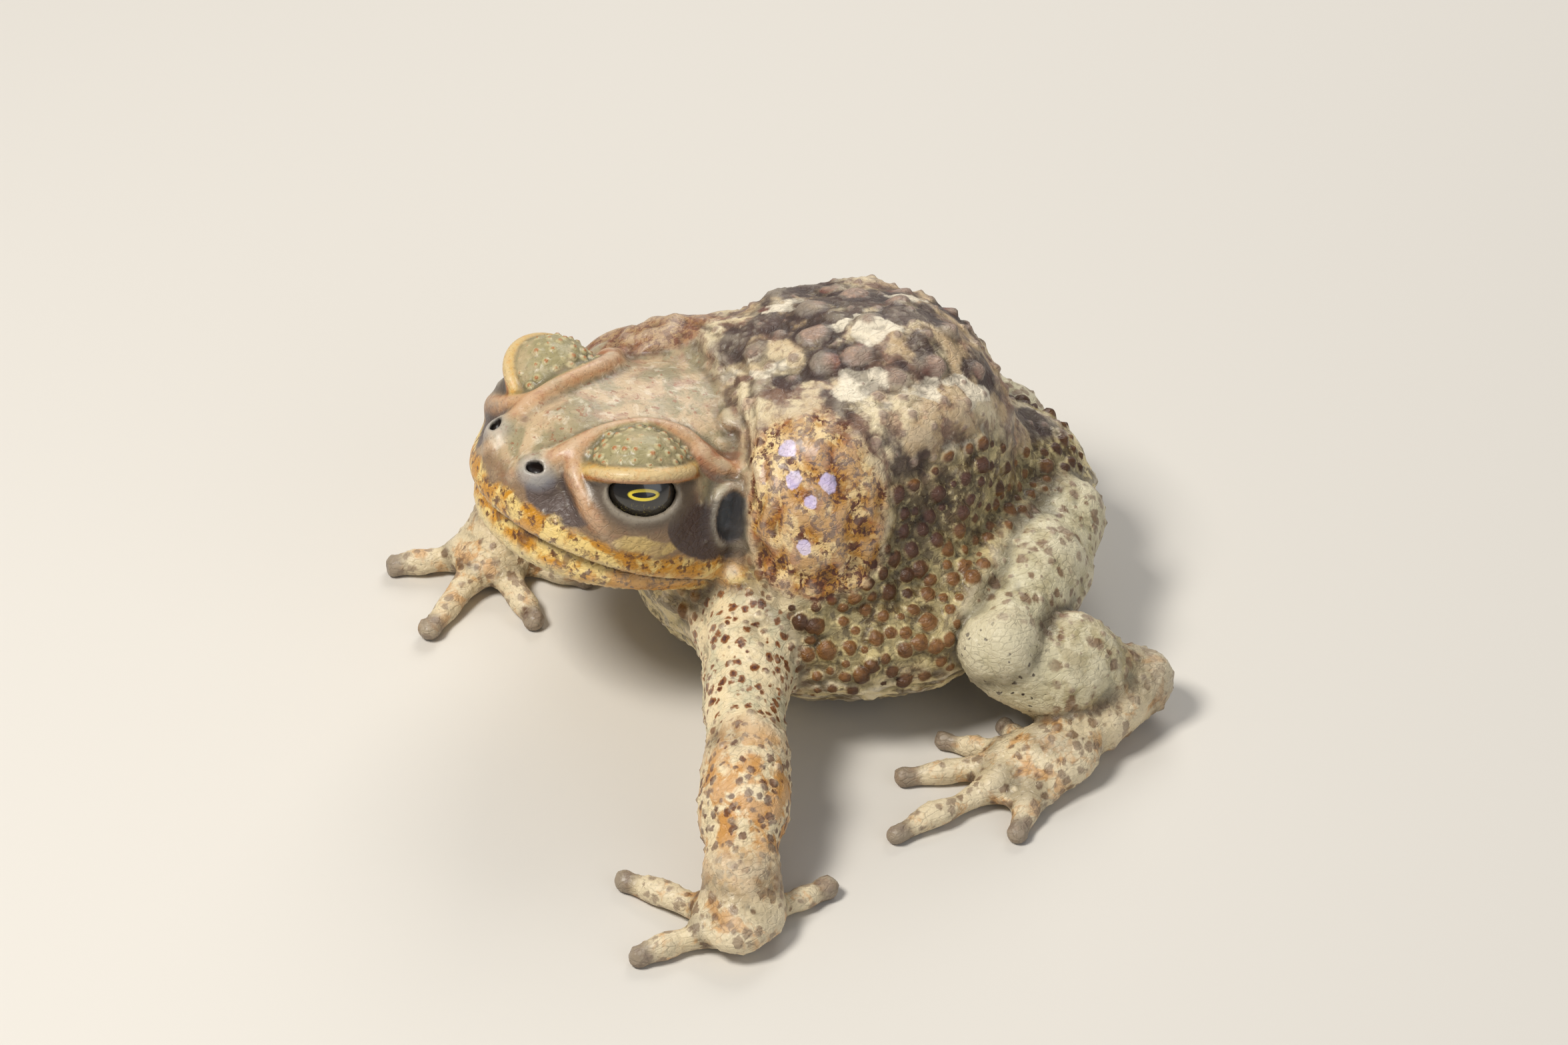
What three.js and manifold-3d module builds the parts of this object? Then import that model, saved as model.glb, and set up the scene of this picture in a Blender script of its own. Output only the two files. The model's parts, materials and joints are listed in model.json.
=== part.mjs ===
import * as THREE from "three";
import { mergeVertices } from "three/addons/utils/BufferGeometryUtils.js";
import Module from "manifold-3d";

// Adult cane toad, sitting with its chest raised on its hands and its head turned to its left.
// Millimetres, +Z up, the snout towards -Y, the toad's own left side at +X, the floor at z = 0.

const wasm = await Module();
wasm.setup();

// Sizes shared by every part
const seam = 0.3; // gap kept between touching nodes
const originShift = [-6.623, 1.842, 0]; // puts the frame's origin under the middle of the whole animal

// Head, in its own frame: origin midway between the corners of the mouth, snout towards -Y
const head = {
  place: [-1.9, -15.8, 30.2],
  yaw: 12.5,
  pitch: 11,
  roll: 0.5,
  jawHalfWidth: 22.9,
  cornerBack: 3,
  snout: 33.6, // from the line of the mouth corners to the tip of the lip
  mouthRise: [-5.3, 1.6], // height of the mouth line at its corners and at the snout
  mouthGap: 0.3,
};
const skullMelt = 6;
const skullShapes = [
  { at: [0, -9, 5], radii: [21, 16, 10.5] },
  { at: [0, -20, 5], radii: [15.6, 14.6, 8.6] },
  { at: [13.4, -16, 6.6], radii: [8.4, 9.6, 8.2] },
  { at: [-13.4, -16, 6.6], radii: [8.4, 9.6, 8.2] },
  { at: [0, -13, 9], radii: [11.5, 13, 7] },
  { at: [0, 3, 4.5], radii: [19.5, 14, 12] },
  { at: [0, -8.5, -0.5], radii: [21.8, 22.5, 5.8] },
];
const jawMelt = 5;
const jawShapes = [
  { at: [0, -11, -3.4], radii: [21.4, 22, 5.8] },
  { at: [0, 3, -5.6], radii: [19, 13, 7.4] },
];
const upperLip = { rise: 1.6, inset: 1.9, radius: 1.9 };
const lowerLip = { rise: -1.4, inset: 3.2, radius: 1.6 };

// Bony ridges: from the nostril back over the eye to the ear, and one down in front of the eye
const crest = {
  radius: 1.5,
  over: [
    [3.9, -32.4], [5.6, -28.8], [6.6, -25], [6.9, -21], [7.4, -17], [8.6, -12.4], [11.2, -8.2], [15.4, -6.4],
    [18.8, -6],
  ],
  sunk: [0.4, -0.7], // depth of its middle line in the skull at the nostril, and past the snout
  before: [[7.8, -25.4, 12], [12, -26, 10.4], [14.6, -25, 6.6], [15.8, -24, 3.4]],
  beforeRadius: 1.275,
};
const eye = { centre: [13.8, -17, 10.4], radius: 6.9, outward: 66, upward: 19 };
// The lids meet on a plane that rises outwards and passes a little over the middle of the eye
const lid = {
  rise: 24,
  lean: 6,
  raise: 1.5,
  upper: [8.1, 8.3, 8.6],
  lower: [7.9, 8.1, 7.7],
  rim: { radius: 1, inset: 0.4, height: 0.7, from: -95, to: 75 },
  slit: { deep: 5, wide: 5.6, tall: 3.5 },
};
const drum = { centre: [20.6, -4.4, 7], radii: [1.4, 2.8, 4.3], tilt: -8, turn: 6 };
const nostril = { centre: [5.7, -29.9, 9.9], radii: [1.6, 1, 1.2], turn: 40 };

// Trunk
const trunkMelt = 9;
const trunkShapes = [
  { at: [0, 9, 16.2], radii: [39.6, 33, 16.6] },
  { at: [0, 10, 33], radii: [26, 25.5, 20.5] },
  { at: [0, -5, 24], radii: [21.8, 18.5, 15] },
  { at: [0, 20, 33], radii: [17, 15.6, 19.5] },
  { at: [0, 39, 15], radii: [14, 14, 13.5] },
];
const parotoid = {
  slope: 38,
  left: { centre: [23, -1.2, 38.6], radii: [7, 9, 11.5] },
  right: { centre: [-22.2, -12.6, 36.4], radii: [7.4, 13, 11.2] },
};
// The large warts of the back: x, y and half width
const backWarts = [
  [6.8, -8.7, 2.5], [17.7, 6.3, 2.8], [13.9, 4.1, 1.9], [6.7, 6, 2.5], [7, 10.9, 2.5],
  [-0.2, 6.3, 2.6], [10.6, 21.6, 2.4], [5.4, -3.6, 1.6], [12.3, 15.3, 1.9], [-2.6, -2.7, 1.6],
  [-8.7, -5.5, 1.9], [-7.5, 8.5, 2.4], [-12.5, 3, 2], [-17.5, 7, 2.6], [-9.5, 16, 2.3],
  [-15, 14, 1.8], [-4.6, 21.5, 1.9], [-11, 24, 2.2], [3, 27, 1.7], [0.8, 15, 1.8],
  [9.4, 29.4, 1.8], [-7, 31, 1.7],
];
const wartShape = [1, 1.15, 0.62]; // across, along and out of the back, in half widths

// Front limbs, each side as it stands; headings run in degrees from -Y towards the body's other side
const arms = {
  left: {
    shoulder: [21, -11, 19], elbow: [50, -21.5, 14.5], wrist: [67, -27.5, 7], palm: [71, -29.5, 3.8],
    headings: [165, 110, 50, -5],
  },
  right: {
    shoulder: [-21, -13, 19], elbow: [-41, -24, 15], wrist: [-28, -36, 7.5], palm: [-25.5, -40, 3.8],
    headings: [145, 97, 44, -13],
  },
};
const armSize = { shoulder: 8.6, elbow: 5.2, wrist: 5.4, muscle: 7, muscleAt: 0.4, melt: 3 };
const palmSize = { radii: [7, 7, 3.4], back: 4.4, front: 3.4, melt: 3 };
const fingers = { lengths: [17, 18, 21, 17], radius: 2.3 };

// Hind limbs, given for the left side and mirrored
const leg = { hip: [13, 43, 17.5], knee: [40, 23, 18.5], heel: [41.5, 45, 6.6], instep: [51, 28, 4] };
const thighSize = { hip: 7.6, knee: 6.4, muscle: [8.4, 8.4, 8.4], muscleAt: 0.45, melt: 5 };
const shankSize = {
  start: [0, 1.5, -3],
  knee: 6.2,
  heel: 5.2,
  muscle: [8.6, 9, 8.8],
  muscleAt: 0.45,
  melt: 4,
};
const tarsusSize = { heel: 5.8, instep: 4.2 };
const footSize = { radii: [6, 7, 3.6], pad: [2, -6, -1.8], padRadii: [7, 6, 2], melt: 4 };
const toes = {
  headings: [-78, -42, -13, 15, 54],
  lengths: [13, 18, 23, 29, 17],
  radius: 2.2,
  base: [0, -1, -1],
};

// A digit's height at shares of its length, in digit radii, and how far its tip narrows and its joints swell
const digitShape = { heights: [[0.3, 1.1], [0.65, 0.85], [1, 0.62]], narrows: 0.28, swells: 0.09 };

// Colours, roughness in the last place
const skinColour = {
  back: [0x8d7a60, 0.7],
  pale: [0xc2b48f, 0.65],
  gland: [0xa8741f, 0.5],
  lip: [0xc59a3c, 0.55],
};
const eyeColour = [0x2a2413, 0.15];
const drumColour = [0x4c4a44, 0.6];

const vec = (x, y, z) => new THREE.Vector3(x, y, z);
const lerp = THREE.MathUtils.lerp;
const clamp = THREE.MathUtils.clamp;
const rad = THREE.MathUtils.degToRad;

// Distance fields, negative inside

// An ellipsoid; turn is an Euler rotation of its own axes
function ellipsoid(centre, radii, turn = [0, 0, 0]) {
  const middle = vec(...centre);
  const inverse = new THREE.Matrix4().makeRotationFromEuler(new THREE.Euler(...turn)).invert();
  const q = vec(0, 0, 0);
  return (p) => {
    q.copy(p).sub(middle).applyMatrix4(inverse);
    const near = Math.hypot(q.x / radii[0], q.y / radii[1], q.z / radii[2]);
    const slope = Math.hypot(q.x / radii[0] ** 2, q.y / radii[1] ** 2, q.z / radii[2] ** 2);
    return slope > 1e-9 ? (near * (near - 1)) / slope : -Math.min(...radii);
  };
}

// A round bone or muscle that tapers from one end to the other
function taper(from, to, startRadius, endRadius) {
  const a = vec(...from);
  const along = vec(...to).sub(a);
  const q = vec(0, 0, 0);
  return (p) => {
    q.copy(p).sub(a);
    const t = clamp(q.dot(along) / along.lengthSq(), 0, 1);
    return q.addScaledVector(along, -t).length() - lerp(startRadius, endRadius, t);
  };
}

// Joins fields with a fillet of about the given width
function melt(width, ...fields) {
  return (p) =>
    fields.map((f) => f(p)).reduce((a, b) => {
      const h = Math.max(width - Math.abs(a - b), 0) / width;
      return Math.min(a, b) - (h * h * width) / 4;
    });
}

const meltShapes = (width, shapes) => melt(width, ...shapes.map(({ at, radii }) => ellipsoid(at, radii)));

// Meshes and solids

// One vertex at each place, and no collapsed triangles
function weld(geometry) {
  const bare = new THREE.BufferGeometry()
    .setAttribute("position", geometry.getAttribute("position"))
    .setIndex(geometry.index);
  const merged = mergeVertices(bare, 1e-4);
  const triangles = [];
  for (let i = 0; i < merged.index.count; i += 3) {
    const [a, b, c] = merged.index.array.subarray(i, i + 3);
    if (a !== b && b !== c && c !== a) triangles.push(a, b, c);
  }
  return merged.setIndex(triangles);
}

function solidFrom(geometry) {
  const welded = weld(geometry);
  return new wasm.Manifold(
    new wasm.Mesh({
      numProp: 3,
      vertProperties: new Float32Array(welded.attributes.position.array),
      triVerts: new Uint32Array(welded.index.array),
    }),
  );
}

function geometryFrom(solid) {
  const mesh = solid.getMesh();
  const position = new Float32Array(mesh.numVert * 3);
  for (let i = 0; i < mesh.numVert; i++)
    position.set(mesh.vertProperties.subarray(i * mesh.numProp, i * mesh.numProp + 3), i * 3);
  const geometry = new THREE.BufferGeometry()
    .setAttribute("position", new THREE.BufferAttribute(position, 3))
    .setIndex(new THREE.BufferAttribute(new Uint32Array(mesh.triVerts), 1));
  geometry.computeVertexNormals();
  return geometry;
}

// Keeps the largest closed body of a solid
function largest(solid) {
  return solid.decompose().reduce((a, b) => (a.volume() > b.volume() ? a : b));
}

// Moves out from start along a direction to where the field reaches a level
function surfacePoint(field, start, direction, level = 0) {
  const step = 0.6;
  const reach = 90;
  const p = vec(0, 0, 0);
  const at = (t) => field(p.copy(start).addScaledVector(direction, t)) - level;
  let far = step;
  while (far < reach && at(far) < 0) far += step;
  let near = far - step;
  for (let i = 0; i < 14; i++) {
    const middle = (near + far) / 2;
    if (at(middle) < 0) near = middle;
    else far = middle;
  }
  return start.clone().addScaledVector(direction, far);
}

// Wraps a capsule of rays round the core line from a to b and shrinks it on to the field
function wrap(field, a, b, [capRings, sides, rings], level = 0) {
  const start = vec(...a);
  const axis = vec(...b).sub(start);
  const length = axis.length();
  const capsule = weld(new THREE.CapsuleGeometry(1, length, capRings, sides, rings));
  const turn = new THREE.Quaternion().setFromUnitVectors(vec(0, 1, 0), axis.clone().normalize());
  const middle = start.clone().addScaledVector(axis, 0.5);
  const places = capsule.getAttribute("position");
  for (let i = 0; i < places.count; i++) {
    const vertex = vec(0, 0, 0).fromBufferAttribute(places, i);
    const core = vec(0, clamp(vertex.y, -length / 2, length / 2), 0);
    const direction = vertex.sub(core).normalize().applyQuaternion(turn);
    const hit = surfacePoint(field, core.applyQuaternion(turn).add(middle), direction, level);
    places.setXYZ(i, hit.x, hit.y, hit.z);
  }
  return solidFrom(capsule);
}

// A field part as a pair of solids: its own, and one grown by the seam for cutting its neighbours
function fleshPart(field, a, b, fineness) {
  return { body: wrap(field, a, b, fineness), grown: wrap(field, a, b, fineness, seam) };
}

// A closed tube with round ends along a smooth curve; radiusAt gives its radius at a share of the way
function tube(points, radiusAt, sides, rings, flatten = 1) {
  const curve = new THREE.CatmullRomCurve3(points.map((p) => vec(...p)), false, "centripetal");
  const length = curve.getLength();
  const ball = weld(new THREE.SphereGeometry(1, sides, rings));
  const places = ball.getAttribute("position");
  for (let i = 0; i < places.count; i++) {
    const x = places.getX(i);
    const y = clamp(places.getY(i), -1, 1);
    const z = places.getZ(i);
    const share = (Math.acos(y) / Math.PI + (1 - y) / 2) / 2;
    const radius = radiusAt(share);
    const end = Math.min(share, 1 - share) * length;
    const round = end < radius ? Math.sqrt(Math.max(0, 1 - (1 - end / radius) ** 2)) : 1;
    const ring = Math.hypot(x, z);
    const tangent = curve.getTangentAt(share);
    const side = vec(0, 0, 1).cross(tangent).normalize();
    const up = tangent.clone().cross(side);
    const place = curve.getPointAt(share);
    if (ring > 1e-6) {
      place.addScaledVector(side, (x / ring) * radius * round);
      place.addScaledVector(up, (z / ring) * radius * round * flatten);
    }
    places.setXYZ(i, place.x, place.y, place.z);
  }
  return solidFrom(ball);
}

function ball(centre, radii, wide, high, turn = [0, 0, 0]) {
  const geometry = new THREE.SphereGeometry(1, wide, high).scale(...radii);
  geometry.applyMatrix4(new THREE.Matrix4().makeRotationFromEuler(new THREE.Euler(...turn)));
  return solidFrom(geometry.translate(...centre));
}

function block(low, high) {
  const size = high.map((value, i) => value - low[i]);
  const centre = high.map((value, i) => (value + low[i]) / 2);
  return solidFrom(new THREE.BoxGeometry(...size).translate(...centre));
}

const joined = (solids) => wasm.Manifold.union(solids);
const cutBy = (solid, cutters) => solid.subtract(joined(cutters));

const ground = block([-200, -200, -40], [200, 200, 0]);
const model = new THREE.Group();

function addNode(name, solid, [colour, roughness], parent = model) {
  const material = new THREE.MeshStandardMaterial({ color: colour, roughness, metalness: 0 });
  const mesh = new THREE.Mesh(geometryFrom(largest(solid)), material);
  mesh.name = name;
  parent.add(mesh);
}

const bothSides = [["left", 1], ["right", -1]];
const sided = (point, side) => [point[0] * side, point[1], point[2]];
const plus = (point, shift) => point.map((value, i) => value + shift[i]);
const between = (a, b, share) => a.map((value, i) => lerp(value, b[i], share));

// Head

const headEuler = new THREE.Euler(rad(-head.pitch), rad(head.roll), rad(head.yaw), "ZXY");
const headMatrix = new THREE.Matrix4().compose(
  vec(...head.place),
  new THREE.Quaternion().setFromEuler(headEuler),
  vec(1, 1, 1),
);
const toBody = (solid) => solid.transform(headMatrix.elements);

// Height of the line on which the lips meet, which falls towards the corners of the mouth
const mouthHeight = (y) => lerp(...head.mouthRise, clamp(-y / head.snout, 0, 1) ** 1.1);

// The jaw's outline seen from above: share 0 is the left corner, 0.5 the tip, 1 the right corner
function jawOutline(share, rise = 0, inset = 0) {
  const angle = Math.PI * share;
  const x = (head.jawHalfWidth - inset) * Math.sign(Math.cos(angle)) * Math.abs(Math.cos(angle)) ** 0.8;
  const y = head.cornerBack - (head.snout - inset + head.cornerBack) * Math.sin(angle) ** 0.84;
  return [x, y, rise + mouthHeight(y)];
}

const headField = meltShapes(skullMelt, skullShapes);
const skull = fleshPart(headField, [0, -3, 4], [0, -23, 4.5], [6, 28, 7]);
const jaw = fleshPart(meltShapes(jawMelt, jawShapes), [0, 3, -4], [0, -19, -3], [4, 20, 5]);

// A point on the skull straight above (x, y), sunk by the given depth
function onSkull(x, y, depth) {
  const hit = surfacePoint(headField, vec(x, y, 4), vec(0, 0, 1));
  return [hit.x, hit.y, hit.z - depth];
}

function crestOver(side, extra = 0) {
  const depth = (i) => lerp(...crest.sunk, Math.min(i / 3, 1));
  const path = crest.over.map(([x, y], i) => sided(onSkull(x, y, depth(i)), side));
  return tube(path, () => crest.radius + extra, 6, 16);
}

function crestBefore(side) {
  return tube(crest.before.map((p) => sided(p, side)), () => crest.beforeRadius, 5, 6);
}

function eyeball(side, extra = 0) {
  const r = eye.radius + extra;
  return ball(sided(eye.centre, side), [r, r, r], 14, 8, [0, 0, Math.PI / 2]);
}

function drumDisc(side, extra = 0) {
  const turn = [0, side * rad(drum.tilt), side * rad(drum.turn)];
  return ball(sided(drum.centre, side), drum.radii.map((r) => r + extra), 10, 8, turn);
}

const lidTurn = (side) => new THREE.Euler(rad(-lid.lean), side * rad(-lid.rise), 0);

// A point given on the plane on which the lids meet, out over the eye, along it and up from it
function onLidPlane(side, out, along, height) {
  const place = vec(side * out, along, height + lid.raise).applyEuler(lidTurn(side));
  return plus([place.x, place.y, place.z], sided(eye.centre, side));
}

function lidPlane(side, above, gap) {
  const half = block([-40, -40, above ? gap : -40], [40, 40, above ? 40 : -gap]);
  const place = new THREE.Matrix4().makeRotationFromEuler(lidTurn(side));
  return half.transform(place.setPosition(...onLidPlane(side, 0, 0, 0)).elements);
}

function upperLid(side) {
  const { radius, inset, height, from, to } = lid.rim;
  const steps = 10;
  const rim = [];
  for (let i = 0; i <= steps; i++) {
    const angle = rad(lerp(from, to, i / steps));
    const out = (lid.upper[0] - inset) * Math.cos(angle);
    rim.push(onLidPlane(side, out, (lid.upper[1] - inset) * Math.sin(angle), height));
  }
  const dome = ball(sided(eye.centre, side), lid.upper, 14, 8);
  return joined([dome, tube(rim, () => radius, 5, steps)]).intersect(lidPlane(side, true, seam / 2));
}

// The way the eye looks
function gaze(side) {
  const level = Math.cos(rad(eye.upward));
  const out = rad(eye.outward);
  return vec(side * Math.sin(out) * level, -Math.cos(out) * level, Math.sin(rad(eye.upward)));
}

// The lower lid, open where the eye shows
function lowerLid(side) {
  const { wide, tall, deep } = lid.slit;
  const middle = vec(...sided(eye.centre, side)).addScaledVector(gaze(side), eye.radius);
  const turn = [0, -side * rad(eye.upward), side * rad(eye.outward - 90)];
  const slit = ball([middle.x, middle.y, middle.z], [deep, wide, tall], 12, 6, turn);
  const dome = ball(sided(eye.centre, side), lid.lower, 14, 8);
  return dome.intersect(lidPlane(side, false, seam / 2)).subtract(slit);
}

function nostrilPit(side) {
  return ball(sided(nostril.centre, side), nostril.radii, 8, 6, [0, 0, side * rad(nostril.turn)]);
}

function lipRing({ rise, inset, radius }, extra = 0) {
  const steps = 24;
  const points = [];
  for (let i = 0; i <= steps; i++) points.push(jawOutline(i / steps, rise, inset));
  return tube(points, () => radius + extra, 6, 22);
}

// All that lies above, or below, the surface on which the lips meet
function mouthSide(above) {
  const thick = 40;
  const middle = (above ? 1 : -1) * (thick + head.mouthGap) / 2;
  const slab = new THREE.BoxGeometry(120, 120, thick, 1, 30, 1).translate(0, -20, middle);
  const places = slab.getAttribute("position");
  for (let i = 0; i < places.count; i++) {
    if (Math.abs(places.getZ(i)) > 1) continue;
    places.setZ(i, places.getZ(i) + mouthHeight(places.getY(i)));
  }
  return solidFrom(slab);
}

const headGroup = new THREE.Group();
headGroup.applyMatrix4(headMatrix);
model.add(headGroup);

const sides = bothSides.map(([, side]) => side);
const headSolid = joined([
  skull.body,
  lipRing(upperLip),
  ...sides.flatMap((side) => [crestOver(side), crestBefore(side), lowerLid(side)]),
]);
const headCutters = sides.flatMap((side) => [eyeball(side, seam), drumDisc(side, seam), nostrilPit(side)]);
addNode("head", cutBy(headSolid, headCutters).intersect(mouthSide(true)), skinColour.back, headGroup);
for (const [name, side] of bothSides) {
  addNode(`eye_${name}`, eyeball(side), eyeColour, headGroup);
  addNode(`tympanum_${name}`, drumDisc(side), drumColour, headGroup);
  const around = [eyeball(side, seam), skull.grown, crestOver(side, seam)];
  addNode(`eyelid_${name}`, cutBy(upperLid(side), around), skinColour.pale, headGroup);
}
const jawSolid = joined([jaw.body, lipRing(lowerLip)]);
addNode("lower_jaw", jawSolid.intersect(mouthSide(false)), skinColour.lip, headGroup);

// What the neck and the limbs keep clear of
const headHole = toBody(joined([
  skull.grown,
  jaw.grown,
  lipRing(upperLip, seam),
  lipRing(lowerLip, seam),
  ...sides.flatMap((side) => [drumDisc(side, seam), crestOver(side, seam)]),
]));

// Trunk

const trunkField = meltShapes(trunkMelt, trunkShapes);
const trunk = fleshPart(trunkField, [0, 32, 22], [0, -6, 25], [5, 30, 12]);

const glands = {};
for (const [name, side] of bothSides) {
  const { centre, radii } = parotoid[name];
  const field = ellipsoid(centre, radii, [0, side * rad(-parotoid.slope), 0]);
  glands[name] = fleshPart(field, plus(centre, [0, 2, 0]), plus(centre, [0, -2, 0]), [4, 14, 2]);
}

const warts = backWarts.map(([x, y, size]) => {
  const place = surfacePoint(trunkField, vec(x, y, 24), vec(0, 0, 1));
  const turn = [0, Math.atan2(x, place.z - 24), 0];
  return ball([place.x, place.y, place.z], wartShape.map((share) => share * size), 7, 4, turn);
});

const torsoCutters = [headHole, glands.left.grown, glands.right.grown, ground];
addNode("torso", cutBy(joined([trunk.body, ...warts]), torsoCutters), skinColour.back);
for (const [name] of bothSides) {
  addNode(`parotoid_${name}`, cutBy(glands[name].body, [headHole]), skinColour.gland);
}

// Limbs

// A digit that comes down to the floor from its base and lies along it
function digit(base, heading, length, radius, sides, rings) {
  const step = (share, height) => {
    const out = length * share;
    return [base[0] + Math.sin(heading) * out, base[1] - Math.cos(heading) * out, height];
  };
  const points = [step(-0.15, base[2])];
  for (const [share, height] of digitShape.heights) points.push(step(share, radius * height));
  const joints = (t) => 1 + digitShape.swells * Math.cos(t * Math.PI * 6);
  const width = (t) => radius * (1 - digitShape.narrows * t) * joints(t);
  return tube(points, width, sides, rings);
}

for (const [name, side] of bothSides) {
  const { shoulder, elbow, wrist, headings, palm } = arms[name];
  const upperField = taper(shoulder, elbow, armSize.shoulder, armSize.elbow);
  const upper = fleshPart(upperField, shoulder, elbow, [3, 12, 5]);
  const muscle = ellipsoid(between(elbow, wrist, armSize.muscleAt), Array(3).fill(armSize.muscle));
  const lowerField = melt(armSize.melt, taper(elbow, wrist, armSize.elbow, armSize.wrist), muscle);
  const lower = fleshPart(lowerField, elbow, wrist, [3, 12, 4]);
  const heel = taper(wrist, palm, palmSize.back, palmSize.front);
  const padField = melt(palmSize.melt, ellipsoid(palm, palmSize.radii), heel);
  const pad = fleshPart(padField, palm, plus(palm, [0.5, 0, 0]), [4, 12, 1]);
  const aroundArm = [trunk.grown, headHole, glands[name].grown];
  addNode(`upper_arm_${name}`, cutBy(upper.body, aroundArm), skinColour.pale);
  addNode(`forearm_${name}`, cutBy(lower.body, [upper.grown, ground]), skinColour.pale);
  addNode(`hand_${name}`, cutBy(pad.body, [lower.grown, ground]), skinColour.pale);
  headings.forEach((heading, i) => {
    const finger = digit(palm, -side * rad(heading), fingers.lengths[i], fingers.radius, 7, 8);
    addNode(`finger_${name}_${i + 1}`, cutBy(finger, [pad.grown, lower.grown, ground]), skinColour.pale);
  });
}

for (const [name, side] of bothSides) {
  const [hip, knee, heel, instep] = [leg.hip, leg.knee, leg.heel, leg.instep].map((p) => sided(p, side));
  const thighMuscle = ellipsoid(between(hip, knee, thighSize.muscleAt), thighSize.muscle);
  const thighField = melt(thighSize.melt, taper(hip, knee, thighSize.hip, thighSize.knee), thighMuscle);
  const thigh = fleshPart(thighField, hip, knee, [4, 12, 5]);
  const shankTop = plus(knee, shankSize.start);
  const calf = ellipsoid(between(shankTop, heel, shankSize.muscleAt), shankSize.muscle);
  const shankField = melt(shankSize.melt, taper(shankTop, heel, shankSize.knee, shankSize.heel), calf);
  const shank = fleshPart(shankField, shankTop, heel, [4, 12, 4]);
  const tarsusField = taper(heel, instep, tarsusSize.heel, tarsusSize.instep);
  const tarsus = fleshPart(tarsusField, heel, instep, [4, 12, 3]);
  const pad = plus(instep, sided(footSize.pad, side));
  const sole = ellipsoid(pad, footSize.padRadii);
  const footField = melt(footSize.melt, ellipsoid(instep, footSize.radii), sole);
  const foot = fleshPart(footField, instep, between(instep, pad, 0.65), [4, 12, 1]);
  addNode(`thigh_${name}`, cutBy(thigh.body, [trunk.grown]), skinColour.pale);
  addNode(`shank_${name}`, cutBy(shank.body, [thigh.grown, trunk.grown, ground]), skinColour.pale);
  const aroundTarsus = [shank.grown, thigh.grown, trunk.grown, ground];
  addNode(`tarsus_${name}`, cutBy(tarsus.body, aroundTarsus), skinColour.pale);
  addNode(`foot_${name}`, cutBy(foot.body, [tarsus.grown, shank.grown, ground]), skinColour.pale);
  toes.headings.forEach((heading, i) => {
    const toe = digit(plus(instep, toes.base), side * rad(heading), toes.lengths[i], toes.radius, 7, 9);
    addNode(`toe_${name}_${i + 1}`, cutBy(toe, [foot.grown, tarsus.grown, ground]), skinColour.pale);
  });
}

model.position.set(...originShift);
const part = new THREE.Group();
part.add(model);

export default part;
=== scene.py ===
import json
from math import asin, atan2, cos, pi, radians, sin

import bmesh
import bpy
import numpy as np
import openvdb
from mathutils import Matrix, Vector

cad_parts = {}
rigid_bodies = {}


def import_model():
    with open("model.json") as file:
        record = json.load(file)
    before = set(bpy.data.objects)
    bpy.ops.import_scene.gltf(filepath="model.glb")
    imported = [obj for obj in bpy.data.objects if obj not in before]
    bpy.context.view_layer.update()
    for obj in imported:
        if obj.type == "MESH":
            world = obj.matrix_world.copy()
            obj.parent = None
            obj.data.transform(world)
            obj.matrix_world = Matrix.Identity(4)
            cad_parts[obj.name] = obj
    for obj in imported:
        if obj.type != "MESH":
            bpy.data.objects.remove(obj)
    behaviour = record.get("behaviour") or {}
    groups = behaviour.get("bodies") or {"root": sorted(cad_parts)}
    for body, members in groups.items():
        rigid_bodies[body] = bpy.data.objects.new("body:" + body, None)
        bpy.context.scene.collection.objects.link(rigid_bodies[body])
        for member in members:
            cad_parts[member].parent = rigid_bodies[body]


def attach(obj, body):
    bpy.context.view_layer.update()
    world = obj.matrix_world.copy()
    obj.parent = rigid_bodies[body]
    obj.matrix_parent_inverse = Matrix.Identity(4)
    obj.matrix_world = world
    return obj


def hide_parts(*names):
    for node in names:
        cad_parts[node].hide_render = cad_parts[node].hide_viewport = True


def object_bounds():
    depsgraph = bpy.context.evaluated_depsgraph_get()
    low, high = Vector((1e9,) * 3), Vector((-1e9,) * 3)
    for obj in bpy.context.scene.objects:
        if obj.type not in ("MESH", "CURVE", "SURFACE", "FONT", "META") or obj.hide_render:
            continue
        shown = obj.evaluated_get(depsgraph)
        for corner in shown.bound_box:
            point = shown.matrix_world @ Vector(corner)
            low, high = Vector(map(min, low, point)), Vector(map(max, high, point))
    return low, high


for leftover in list(bpy.data.objects):
    bpy.data.objects.remove(leftover)
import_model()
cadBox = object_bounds()
print("frame loaded")

mm = 0.001
originShift = np.array([-6.623, 1.842, 0.0])  # from the toad's own axes to the frame, in millimetres

# Camera, at the angle from which the toad is seen
view = {"azimuth": 71.7, "elevation": 38.0, "distance": 900.0, "pixelsPerMm": 9.36, "aim": (1.2, 14.5),
    "imageWidth": 2352, "sensor": 36.0}


def addObject(name, data):
    made = bpy.data.objects.new(name, data)
    bpy.context.scene.collection.objects.link(made)
    return made


def placeCamera():
    a, e = radians(view["azimuth"]), radians(view["elevation"])
    back = np.array([sin(a) * cos(e), -cos(a) * cos(e), sin(e)])
    right = np.array([cos(a), sin(a), 0.0])
    up = np.cross(back, right)
    aim = right * view["aim"][0] + up * view["aim"][1] + originShift
    camera = addObject("camera", bpy.data.cameras.new("camera"))
    turn = Matrix(np.column_stack([right, up, back]).tolist()).to_4x4()
    camera.matrix_world = Matrix.Translation(Vector((aim + back * view["distance"]) * mm)) @ turn
    camera.data.sensor_width = view["sensor"]
    camera.data.lens = view["pixelsPerMm"] * view["distance"] * view["sensor"] / view["imageWidth"]
    camera.data.clip_start = 0.01
    bpy.context.scene.camera = camera


placeCamera()
bpy.context.scene.view_settings.view_transform = "Standard"
print("camera placed")


def single(values):
    return np.array(values, np.float32)


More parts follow.
